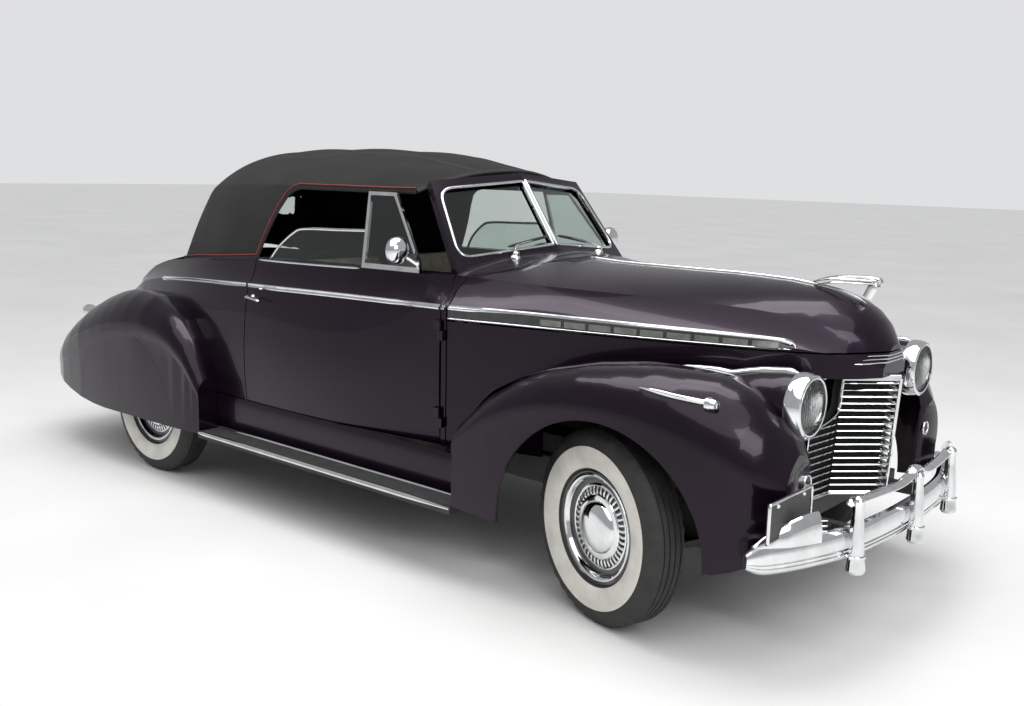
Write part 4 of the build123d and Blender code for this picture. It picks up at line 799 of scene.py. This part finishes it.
piece("screen_centre_bar",
      *sweep(run(centre_bar, 20), [Vector((0.82, 0, 0.57))] * 20, half_round(0.020, 0.007, 0.008),
             ends(20, 2, 2, 0.6)), CHROME, "chassis")

# Mouldings along the body
body_tree, door_tree = tree_of("rear_body"), tree_of("door_right")
hood_tree, panel_tree = tree_of("hood"), tree_of("front_panels")
fender_tree = tree_of("front_fenders")
BELT = twin_ribs(0.024, 0.008)
OUT_RIGHT = (0, 1, 0)
TAIL_LAMP, MIRROR = at(-3650, -716, 752), at(-1110, -746, 1268)


def beside(x, z):
    """A point well out from the right side, to cast inwards from."""
    return at(x, -1100, z)


for hand, flip in HANDS:
    strip(f"belt_rear_{hand}", body_tree, [beside(-3060, 984), beside(-2600, 1016), beside(-2126, 1036)],
          OUT_RIGHT, BELT, CHROME, "chassis", 60, (4, 0), flip)
    strip(f"belt_door_{hand}", door_tree, [beside(-2110, 1036), beside(-1500, 1048), beside(-911, 1052)],
          OUT_RIGHT, BELT, CHROME, f"door_{hand}", 70, (0, 0), flip)
    strip(f"belt_cowl_{hand}", cowl_tree, [beside(-897, 1052), beside(-882, 1052)], OUT_RIGHT, BELT,
          CHROME, "chassis", 6, (0, 0), flip)
    loop = [beside(-868, 1054), beside(-300, 1050), beside(150, 1044), beside(380, 1036),
            beside(436, 1027), beside(452, 1014)]
    strip(f"hood_strip_upper_{hand}", hood_tree, loop, OUT_RIGHT, twin_ribs(0.022, 0.009), CHROME, "hood",
          90, (0, 3), flip)
    strip(f"hood_strip_lower_{hand}", hood_tree, [beside(-868, 1010), beside(0, 1009), beside(440, 1010)],
          OUT_RIGHT, half_round(0.008, 0.006), CHROME, "hood", 70, (0, 2), flip)
    # Bed of the hood strip: the geometry is real, and its dark colour paints the shade in the channel between
    # the mouldings
    strip(f"hood_strip_bed_{hand}", hood_tree,
          [beside(-868, 1031), beside(0, 1029), beside(300, 1024), beside(430, 1019)], OUT_RIGHT,
          [(-0.017, -0.004), (0.017, -0.004), (0.017, 0.002), (-0.017, 0.002)], PAINTED_SHADE_RECESS, "hood", 70, (0, 3),
          flip)
    blocks = []
    for n in range(9):
        x0 = -470 + n * 98
        landed = cast(hood_tree, run([beside(x0, 1030 - n * 0.9), beside(x0 + 84, 1029 - n * 0.9)], 6),
                      OUT_RIGHT)
        blocks.append(sweep([p for p, _ in landed], [o for _, o in landed],
                            [(-0.012, -0.002), (0.012, -0.002), (0.011, 0.0042), (-0.011, 0.0042)]))
    piece(f"hood_strip_inserts_{hand}", *joined(blocks), RECESS_PALE, "hood", flip=flip, smooth=False)
    ridge = [at(150, -600, 1300), at(-100, -690, 1300), at(-330, -770, 1300), at(-500, -806, 1300),
             at(-610, -822, 1300)]
    strip(f"fender_ridge_{hand}", fender_tree, ridge, (0, 0, -1), half_round(0.075, 0.011, 0.003), PAINT,
          "chassis", 60, (10, 12), flip)
    spear = [at(140, -562, 1300), at(300, -540, 1300), at(450, -518, 1300), at(556, -506, 1300)]
    strip(f"lamp_spear_{hand}", fender_tree, spear, (0, 0, -1), half_round(0.030, 0.012), CHROME,
          "chassis", 40, (14, 3), flip)
    lower = [at(150, -1000, 905), at(260, -1000, 893), at(345, -1000, 884), at(388, -1000, 880)]
    strip(f"parking_lamp_spear_{hand}", fender_tree, lower, OUT_RIGHT, half_round(0.020, 0.014), CHROME,
          "chassis", 24, (10, 1), flip)
    landed = cast(fender_tree, [at(392, -1000, 879)], OUT_RIGHT)
    if landed:
        spot = landed[0][0] + Vector((0, -0.008, 0))
        turned(f"parking_lamp_{hand}",
               [(0, 34), (8, 32), (15, 26), (19, 16), (20, 6), (23, 4), (23, -8), (0, -10)], spot,
               (1, 0, 0), [CHROME], "chassis", 24, flip)
        turned(f"parking_lens_{hand}", [(0, 37), (8, 35), (14, 29), (17, 21), (17.5, 14)], spot, (1, 0, 0),
               LENS, "chassis", 24, flip)
    landed = cast(fender_tree, [at(1000, -545, 612)], (-1, 0, 0))
    if landed:
        spot, out = landed[0]
        side = out.cross(Vector((0, 0, 1))).normalized()
        loop = [spot + out * 0.002 + (side * math.cos(a) + side.cross(out) * math.sin(a)) * 0.026 for a in
                [2 * math.pi * k / 28 for k in range(28)]]
        piece(f"fender_ring_{hand}",
              *sweep(loop, [out] * 28, half_round(0.008, 0.004, 0.003), closed=True), CHROME, "chassis",
              flip=flip)
    # Door handle with its escutcheon and lock
    landed = cast(door_tree, [beside(-2070, 984), beside(-2030, 982), beside(-1965, 980)], OUT_RIGHT)
    (boss, out), (mid, _), (tip, _) = landed
    turned(f"handle_rose_{hand}", [(0, 8), (10, 7), (15, 3), (16, -3)], boss, out, CHROME, f"door_{hand}",
           24, flip)
    lever = [boss + out * 0.004, boss + out * 0.034, mid + out * 0.044,
             tip + out * 0.040 + Vector((0, 0, -0.006))]
    tube(f"handle_lever_{hand}", lever, 0.0105, CHROME, f"door_{hand}", 26, up=(0, -0.3, 1), flat=0.72,
         flip=flip, taper=(0, 5))
    turned(f"handle_lock_{hand}", [(0, 5), (6, 4.5), (9, 2), (10, -2)], boss + Vector((0, 0, -0.045)), out,
           CHROME, f"door_{hand}", 20, flip)
    # Mirror bowl on the vent frame's mirror disc
    turned(f"mirror_bowl_{hand}",
           [(54, -7), (56, -4), (57, 2), (55, 9), (48, 19), (36, 28), (20, 34), (0, 36)],
           MIRROR, (1, 0, 0), CHROME, f"door_{hand}", 40, flip)
    # Bright edge on the half-lowered pane, leaning in like the pane
    edge = [(-1412, 1328), (-1600, 1321), (-1830, 1313), (-1900, 1291), (-1985, 1226), (-2036, 1158)]
    line = [at(x, -672 + (z - 1190) * 0.24, z) for x, z in edge]
    tube(f"pane_edge_{hand}", line, 0.007, CHROME, f"door_{hand}", 50, up=(0, -1, 0.2), flip=flip)
    # Bright sill strip along the window line
    sill = [beside(-1410, 1168), beside(-1800, 1160), beside(-2100, 1156)]
    strip(f"sill_strip_{hand}", door_tree, sill, OUT_RIGHT, half_round(0.010, 0.004), CHROME,
          f"door_{hand}", 40, (2, 2), flip)
    # Running board: ribbed mat, bright outer and inner strips
    ridges = []
    for n in range(15):
        y = -782 - n * 6.6
        path = [at(x, y, 314) for x in (-672, -1100, -1600, -2330)]
        ridges.append(sweep(path, [Vector((0, 0, 1))] * 4, half_round(0.0044, 0.0035, 0.002)))
    piece(f"board_ribs_{hand}", *joined(ridges), MAT_RUBBER, "chassis", flip=flip)
    for label, y, z, width in (("outer", -888, 308, 0.024), ("inner", -774, 315, 0.012)):
        path = [at(x, y, z) for x in (-664, -900, -1400, -1900, -2300, -2340)]
        out = Vector((0, -0.75, 0.66)) if label == "outer" else Vector((0, 0, 1))
        piece(f"board_strip_{label}_{hand}",
              *sweep(path, [out] * 6, half_round(width, 0.009), ends(6, 1, 1, 0.6)), CHROME, "chassis",
              flip=flip)
    # Painted sill between the door and the running board
    rows = [[at(-664 - 1676 * k / 30, y, z) for k in range(31)] for y, z in
            ((-774, 316), (-778, 350), (-779, 400), (-777, 440), (-774, 468), (-769, 485))]
    verts = [p for row in rows for p in row]
    faces = [(r * 31 + c, r * 31 + c + 1, (r + 1) * 31 + c + 1,
              (r + 1) * 31 + c) for r in range(5) for c in range(30)]
    piece(f"sill_panel_{hand}", verts, faces, PAINT, "chassis", flip=flip)
    # Tail lamp: bright bullet and red lens
    turned(f"tail_bullet_{hand}",
           [(0, 118), (9, 112), (19, 92), (28, 60), (34, 26), (37, 4), (37, -16), (33, -26), (30, -27)],
           TAIL_LAMP, (1, 0, 0), CHROME, "chassis", 36, flip)
    turned(f"tail_lens_{hand}", [(0, -44), (12, -43), (21, -38), (26, -31), (29, -24)],
           TAIL_LAMP, (1, 0, 0), RED_LENS, "chassis", 28, flip)

# Hood centre strip, nose bars, ornament
strip("hood_centre_strip", hood_tree,
      [at(-684, 0, 1500), at(0, 0, 1500), at(350, 0, 1500), at(560, 0, 1500)], (0, 0, -1),
      half_round(0.015, 0.009), CHROME, "hood", 80, (2, 3))
NOSE_BARS = [(990, 150), (978, 178), (966, 204)]
for n, (z, half) in enumerate(NOSE_BARS):
    guide = [at(1000, half * (k / 20 - 1), z) for k in range(41)]
    landed = cast(panel_tree, guide, (-1, 0, 0))
    if len(landed) > 6:
        piece(f"nose_bar_{n}",
              *sweep([p for p, _ in landed], [o for _, o in landed], half_round(0.0065, 0.006),
                     ends(len(landed), 3, 3)), CHROME, "chassis")
# Ornament: a plain streamlined fin over two flat side blades
fin_line = [at(338, 0, 1214), at(400, 0, 1236), at(480, 0, 1247), at(560, 0, 1250), at(600, 0, 1246)]
fin_path = run(fin_line, 30)
scales = [(0.3 + 0.7 * min(1, n / 12), 0.3 + 0.7 * min(1, n / 12)) for n in range(30)]
parts = [sweep(fin_path, [Vector((0, 0, 1))] * 30, circle(0.011, 14, 0.75), scales)]
for sign in (-1, 1):
    for drop, spread in ((0.0, 0.030), (-0.013, 0.036)):
        blade = [at(352, sign * 8, 1222 + drop * 1000), at(450, sign * spread * 620, 1240 + drop * 1000),
                 at(560, sign * spread * 700, 1244 + drop * 1000), at(596, sign * 6, 1244 + drop * 1000)]
        parts.append(sweep(run(blade, 26), [Vector((0, 0, 1))] * 26, circle(0.008, 10, 0.42),
                           ends(26, 8, 2, 0.3)))
curl = [at(598 + 13 * math.sin(a), 0,
           1238 + 13 * math.cos(a)) for a in [2 * math.pi * k / 24 for k in range(24)]]
parts.append(sweep(curl, [Vector((0, 1, 0))] * 24, circle(0.0045, 8), closed=True))
stem = [at(560, 0, 1180), at(572, 0, 1206), at(584, 0, 1236)]
parts.append(sweep(run(stem, 10), [Vector((1, 0, 0))] * 10, circle(0.014, 12, 1.3), ends(10, 0, 3, 0.5)))
ornament = piece("ornament_dressed", *joined(parts), CHROME, "hood")
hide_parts("hood_ornament")

# Headlamps: deep bezels, thin fluted lenses and reflectors
for hand, flip in HANDS:
    face = at(590, -505, 858)
    turned(f"lamp_bezel_{hand}",
           [(94, 13), (96, 20), (101, 23), (107, 20), (112, 8), (114, -8), (114, -26), (112, -34),
            (108, -35)], face, (1, 0, 0), CHROME, "chassis", 56, flip)
    lens = turned(f"lamp_lens_{hand}",
                  [(93, 12), (80, 19), (60, 25), (35, 29), (0, 31), (0, 28), (35, 26), (60, 22), (80, 16),
                   (93, 9)], face, (1, 0, 0), LENS, "chassis", 48, flip)
    if hand == "right":
        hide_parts("lamp_lenses")
    turned(f"lamp_reflector_{hand}", [(93, 10), (80, 6), (55, 3), (25, 1.2), (12, 1.0), (9, 12), (0, 13)],
           face, (1, 0, 0), REFLECTOR, "chassis", 48, flip)

# Front bumper: ribbed bar, guards and linking bars
BUMPER_Z, GUARD_Z, BAND_Z = 412, 416, 372
BAR_POINTS = 90
# Columns: x, y
BAR_BACK = [(585, -858), (672, -700), (752, -450), (779, -225), (786, 0)]
plan = BAR_BACK + [(x, -y) for x, y in reversed(BAR_BACK[:-1])]


def bumper(name, plan, sign, profile, nodes):
    """A bar along a plan line, facing forward or back by sign, that stands for its solids."""
    path = run([at(x, y, BUMPER_Z) for x, y in plan], BAR_POINTS)
    outs = []
    for n, place in enumerate(path):
        along = (path[min(n + 1, BAR_POINTS - 1)] - path[max(n - 1, 0)]).normalized()
        outs.append(Vector((along.y, -along.x, 0)).normalized() * sign)
    made = piece(name, *sweep(path, outs, profile, ends(BAR_POINTS, 4, 4, 0.45)), CHROME, "chassis")
    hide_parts(*nodes)
    return made


# Columns: across the bar, downwards on the front one, and out from its face
BAR = [(-0.046, -0.038), (-0.055, -0.022), (-0.053, -0.008), (-0.044, 0.002), (-0.026, 0.008),
       (-0.004, 0.0095), (0.008, 0.009),
       (0.010, 0.002), (0.014, 0.002), (0.016, 0.009), (0.021, 0.009), (0.023, 0.002), (0.027, 0.002),
       (0.029, 0.008),
       (0.042, 0.003), (0.052, -0.009), (0.055, -0.023), (0.046, -0.038)]
bumper("bumper_bar_front", plan, 1 if plan[0][1] < 0 else -1, BAR, ["front_bumper"])
guard_profile = [(0, -106), (16, -105), (27, -100), (32, -90), (30, -70), (27, -44), (26, -20), (24, 30),
                 (21, 90), (19, 124),
                 (21, 134), (22, 146), (18, 156), (9, 162), (0, 163)]
for n, (y, x) in enumerate(((-450, 771), (0, 805), (450, 771))):
    turned(f"bumper_guard_{n}", guard_profile, at(x, y, GUARD_Z), (-0.04, 0, 1), CHROME, "chassis", 28)
    turned(f"bumper_guard_band_{n}", [(30, -6), (33, -4), (33, 4), (30, 6)], at(x, y, BAND_Z), (-0.04, 0, 1),
           CHROME, "chassis", 28)
for n, sign in enumerate((-1, 1)):
    line = [at(744, sign * 478, 548), at(752, sign * 452, 562), at(764, sign * 380, 560),
            at(782, sign * 160, 556),
            at(788, sign * 60, 570), at(790, sign * 22, 590), at(790, 0, 592)]
    path = run(line, 50)
    piece(f"bumper_link_{n}",
          *sweep(path, [Vector((0.25, 0, 1)).normalized()] * 50, half_round(0.036, 0.006, 0.004),
                 ends(50, 2, 0, 0.6)), CHROME, "chassis")
for hand, flip in HANDS:
    crest = run([at(600, -846, 462), at(660, -730, 464), at(706, -620, 465)], 30)
    swell = [(0.35 + 0.65 * min(1, n / 14),
              0.08 + 0.92 * math.sin(math.pi / 2 * n / 29) ** 0.9) for n in range(30)]
    hump = [(0.024 * math.cos(a), 0.088 * math.sin(a)) for a in [math.pi * k / 10 for k in range(11)]]
    piece(f"bumper_scoop_{hand}",
          *sweep(crest, [Vector((0, 0, 1))] * 30, hump + [(-0.024, -0.01), (0.024, -0.01)], swell), CHROME,
          "chassis", flip=flip)
    slats = []
    for k in range(3):
        slat = [at(690 + j * 8, -626 + j * 10, 482 + k * 18) for j in range(5)]
        slats.append(sweep(slat, [Vector((0, 0, 1))] * 5, circle(0.006, 8, 0.6)))
    piece(f"bumper_scoop_slats_{hand}", *joined(slats), CHROME, "chassis", flip=flip)
REAR_BACK = [(-3962, -744), (-3990, -620), (-4002, -450), (-4020, -220), (-4030, 0)]
rear_plan = REAR_BACK + [(x, -y) for x, y in reversed(REAR_BACK[:-1])]
bumper("bumper_bar_rear", rear_plan, -1, [(-a, o) for a, o in BAR], ["rear_bumper"])
for n, y in enumerate((-360, 360)):
    turned(f"bumper_guard_rear_{n}", guard_profile[:9] + [(14, 104), (0, 110)], at(-4030, y, GUARD_Z),
           (0.03, 0, 1), CHROME, "chassis", 28)

# Number plate frame and bolts
corners = rounded([(-857, 487), (-563, 487), (-563, 613), (-857, 613)], [10, 10, 10, 10], 5)
rim = [at(653, y, z) for y, z in corners]
piece("plate_frame", *sweep(rim, [Vector((1, 0, 0))] * len(rim), half_round(0.010, 0.005, 0.003),
                            closed=True), CHROME, "chassis")
bolts = []
for y in (-800, -620):
    made = lathe([(0, 6), (5, 5), (7, 2), (8, -1)], at(652, y, 598), (1, 0, 0), 14)
    bolts.append((made[0], made[1]))
piece("plate_bolts", *joined(bolts), CHROME, "chassis")

# Boot lid handle
lid_tree = tree_of("boot_lid")
landed = cast(lid_tree, [at(-3760, y, 1400) for y in (-60, 0, 60)], (0, 0, -1))
if len(landed) == 3:
    (a, na), (b, nb), (c, _) = landed
    tube("lid_handle", [a + na * 0.006, b + nb * 0.030, c + na * 0.006], 0.010, CHROME, "boot_lid", 24,
         up=(0, 0, 1), flat=0.7)

# Cabin: padded seats, linings, dials
SWELL_CAP = 0.024
CHANNEL_DEPTH, CHANNEL_WIDTH = 0.010, 0.008


def cushion(name, outline, y0, y1, pleat, lean, voxel=0.010):
    """A padded piece over a side outline: rounded block, swelled as cloth, then sewn with channels."""
    verts, faces = [], []
    count = len(outline)
    for y in (y0, y1):
        verts += [at(x, y, z) for x, z in outline]
    faces = [(n, (n + 1) % count, count + (n + 1) % count, count + n) for n in range(count)]
    faces += [tuple(reversed(range(count))), tuple(range(count, 2 * count))]
    made = piece(name, verts, faces, [LEATHER], "chassis", smooth=False)
    shape = bmesh.new()
    shape.from_mesh(made.data)
    bmesh.ops.bevel(shape, geom=shape.edges[:] + shape.verts[:], offset=0.035, segments=3, affect="EDGES")
    shape.to_mesh(made.data)
    shape.free()
    remesh = made.modifiers.new("remesh", "REMESH")
    remesh.mode = "VOXEL"
    remesh.voxel_size = voxel
    graph = bpy.context.evaluated_depsgraph_get()
    fine = bpy.data.meshes.new_from_object(made.evaluated_get(graph))
    made.modifiers.clear()
    made.data = fine
    rest = [v.co.copy() for v in fine.vertices]
    cloth = made.modifiers.new("cloth", "CLOTH")
    cloth.settings.use_pressure = True
    cloth.settings.uniform_pressure_force = 4.0
    cloth.settings.effector_weights.gravity = 0.0
    cloth.settings.quality = 5
    for step in range(1, 21):
        bpy.context.scene.frame_set(step)
    graph = bpy.context.evaluated_depsgraph_get()
    moved = [v.co.copy() for v in made.evaluated_get(graph).data.vertices]
    made.modifiers.clear()
    bpy.context.scene.frame_set(1)
    for v, before, after in zip(fine.vertices, rest, moved):
        shift = after - before
        v.co = before + shift * min(1.0, SWELL_CAP / max(shift.length, 1e-9))
    fine.update()
    normals = [v.normal.copy() for v in fine.vertices]
    for v, normal in zip(fine.vertices, normals):
        facing = max(0.0, normal.dot(lean))
        phase = (v.co.y - y0 / 1000) / (pleat / 1000)
        near = abs(phase - round(phase)) * pleat / 1000
        v.co -= normal * facing * CHANNEL_DEPTH * math.exp(-(near / CHANNEL_WIDTH) ** 2)
    fine.materials.clear()
    fine.materials.append(LEATHER)
    for face in fine.polygons:
        face.use_smooth = True
    return made


SEAT_UP = Vector((0, 0, 1))


def plinth(name, outline, half):
    """The carpeted base under a seat: a side outline carried across, with rounded edges."""
    verts = [at(x, y, z) for y in (-half, half) for x, z in outline]
    faces = [(0, 1, 5, 4), (1, 2, 6, 5), (2, 3, 7, 6), (3, 0, 4, 7), (3, 2, 1, 0), (4, 5, 6, 7)]
    made = piece(name, verts, faces, CARPET, "chassis", smooth=False)
    edge_round = made.modifiers.new("edge", "BEVEL")
    edge_round.width, edge_round.segments = 0.018, 3


plinth("seat_plinth_front", [(-1486, 484), (-1480, 652), (-1996, 640), (-1998, 484)], 575)
seat = cushion("seat_cushion_front",
               [(-1498, 668), (-1490, 760), (-1520, 778), (-1840, 760), (-1868, 668)], -572, 572, 95,
               SEAT_UP)
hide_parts("front_seat")
BACK_LEAN = Vector((0.97, 0, 0.2)).normalized()
for hand, y0, y1 in (("right", -572, -14), ("left", 14, 572)):
    cushion(f"seat_back_front_{hand}",
            [(-1890, 672), (-1968, 1120), (-1990, 1172), (-2004, 1172), (-1990, 900), (-1984, 672)], y0,
            y1, 93, BACK_LEAN)
plinth("seat_plinth_rear", [(-2508, 484), (-2504, 620), (-2950, 620), (-2952, 484)], 490)
rear = cushion("seat_cushion_rear", [(-2518, 646), (-2512, 726), (-2536, 746), (-2772, 726), (-2790, 646)],
               -478, 478, 95, SEAT_UP)
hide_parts("rear_seat")
cushion("seat_back_rear", [(-2818, 652), (-2868, 996), (-2890, 1018), (-2930, 1014), (-2934, 652)], -478,
        478, 95, BACK_LEAN)

# Linings
floor_tree = tree_of("floor")
carpet_grid = [[at(-830 - 1650 * r / 30, -600 + 1200 * c / 24, 560) for c in range(25)] for r in range(31)]
panel("floor_mat", floor_tree, carpet_grid, (0, 0, -1), 0.005, CARPET, "chassis")
for hand, flip in HANDS:
    grid = [[at(-960 - 1100 * r / 24, -300, 540 + 560 * c / 14) for c in range(15)] for r in range(25)]
    panel(f"door_card_{hand}", door_tree, grid, (0, -1, 0), 0.004, LEATHER, f"door_{hand}", flip)
    inner = cast(door_tree, [at(x, -300, 860) for x in (-1000, -1300, -1700, -2020)], (0, -1, 0))
    if len(inner) == 4:
        piece(f"door_card_strip_{hand}",
              *sweep(run([p for p, _ in inner], 30), [Vector((0, 1, 0))] * 30, half_round(0.012, 0.009),
                     ends(30, 2, 2)), CHROME, f"door_{hand}", flip=flip)
        grip = inner[1][0]
        tube(f"door_pull_{hand}",
             [grip + Vector((0.05, 0.01, 0.06)), grip + Vector((0.0, 0.045, 0.075)),
              grip + Vector((-0.09, 0.045, 0.07))], 0.008, CHROME, f"door_{hand}", 20, up=(0, 0.3, 1),
              flat=0.7, flip=flip, taper=(0, 3))

# Dashboard dials and knobs, and the horn button
dash_tree = tree_of("dashboard")
for n, (y, radius) in enumerate(((350, 62), (205, 44), (0, 40), (-330, 34))):
    landed = cast(dash_tree, [at(-1400, y, 1085)], (1, 0, 0))
    if landed:
        spot = landed[0][0]
        turned(f"dial_{n}", [(0, 1.5), (radius * 0.9, 1.5), (radius * 0.93, 3)], spot, (-1, 0, 0), DIAL,
               "chassis", 36)
        turned(f"dial_ring_{n}",
               [(radius * 0.9, 1), (radius * 0.93, 6), (radius, 7), (radius * 1.06, 4),
                (radius * 1.08, -2)], spot, (-1, 0, 0), CHROME, "chassis", 36)
knobs = []
for y in (120, 80, -80, -120, -160):
    landed = cast(dash_tree, [at(-1400, y, 1040)], (1, 0, 0))
    if landed:
        made = lathe([(4, -2), (4, 14), (9, 15), (11, 20), (9, 25), (0, 27)], landed[0][0], (-1, 0, 0), 16)
        knobs.append((made[0], made[1]))
if knobs:
    piece("dash_knobs", *joined(knobs), BAKELITE, "chassis")
column = Vector(JOINTS["steering"]["axis"]).normalized()
hub = Vector(JOINTS["steering"]["pos_m"]) + column * 0.036
turned("horn_button", [(0, 16), (16, 14), (28, 9), (36, 3), (38, 0)], hub, column, CHROME,
       "steering_wheel", 36)

# Grille: rounded bars that end on a curved outline, a prow ridge, a flat header, and behind them a near-black
# sheet that paints the shade between the bars
GRILLE_TOP, GRILLE_LOW, GRILLE_COUNT = 905, 474, 17
WING_TOP, WING_START = 736, 800
PROW_WIDE, WING_WIDE = 150, 345
PROW_DEPTH, WING_DEPTH = 146, 18


def grille_half(z):
    """Half the grille's width at a height: upright, then a sweep out to the wing."""
    if z >= WING_START:
        return PROW_WIDE
    if z <= WING_TOP:
        return WING_WIDE
    share = (WING_START - z) / (WING_START - WING_TOP)
    return PROW_WIDE + (WING_WIDE - PROW_WIDE) * (1 - math.sqrt(1 - share * share))


def grille_at(y, z, out=0.0):
    wide = abs(y)
    tip = 680 + 24 * (z - GRILLE_LOW) / (GRILLE_TOP - GRILLE_LOW) + out
    back = PROW_DEPTH * min(1.0, wide / PROW_WIDE)
    if wide > PROW_WIDE:
        back += WING_DEPTH * (wide - PROW_WIDE) / (WING_WIDE - PROW_WIDE)
    return at(tip - back, y, z)


bars = []
for n in range(GRILLE_COUNT):
    z = GRILLE_LOW + 5 + n * (GRILLE_TOP - GRILLE_LOW) / GRILLE_COUNT
    half = grille_half(z) - 3
    across = sorted({half * k / 18 for k in range(-18, 19)} | ({-PROW_WIDE,
                                                                PROW_WIDE} if half > PROW_WIDE else set()))
    bars.append(sweep([grille_at(y, z, -6) for y in across], [Vector((1, 0, 0))] * len(across),
                      [(0.0052 * math.cos(a),
                        0.0105 * math.sin(a)) for a in [2 * math.pi * k / 12 for k in range(12)]]))
head = [grille_at(y, 906, 1) for y in [PROW_WIDE * k / 12 for k in range(-12, 13)]]
bars.append(sweep(head, [Vector((1, 0, 0))] * len(head),
                  [(-0.008, -0.016), (-0.009, 0.002), (-0.006, 0.005), (0.012, 0.005), (0.014, 0.002),
                   (0.012, -0.016)]))
ridge = [grille_at(0, z, 3) for z in range(470, 912, 24)]
bars.append(sweep(ridge, [Vector((1, 0, 0))] * len(ridge), circle(0.006, 10, 1.3)))
for sign in (-1, 1):
    heights = [905 - 105 * k / 6
               for k in range(6)] + [WING_START - (WING_START - WING_TOP) * (1 - (1 - k / 16) ** 2)
                                     for k in range(17)] + \
              [WING_TOP - 262 * k / 8 for k in range(1, 9)]
    border = [grille_at(sign * grille_half(z), z, -2) for z in heights]
    bars.append(sweep(border, [Vector((1, 0, 0))] * len(border), circle(0.0045, 8, 1.6)))
sole = [grille_at(y, 472, -4) for y in [WING_WIDE * k / 18 for k in range(-18, 19)]]
bars.append(sweep(sole, [Vector((1, 0, 0))] * len(sole), circle(0.006, 8, 1.5)))
grille = piece("grille_dressed", *joined(bars), CHROME, "chassis")
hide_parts("grille")
# Near-black sheet behind the bars: painted shade standing in for the dim space behind the grille
shade_sheet_verts, shade_sheet_faces = [], []
levels = [GRILLE_LOW + (GRILLE_TOP - GRILLE_LOW) * k / 24 for k in range(25)]
for z in levels:
    shade_sheet_verts += [grille_at(grille_half(z) * k / 12, z, -34) for k in range(-12, 13)]
for r in range(24):
    for c in range(24):
        shade_sheet_faces.append((r * 25 + c, r * 25 + c + 1, (r + 1) * 25 + c + 1, (r + 1) * 25 + c))
piece("grille_painted_shade_sheet", shade_sheet_verts, shade_sheet_faces, GRILLE_SHADE_SHEET, "chassis")
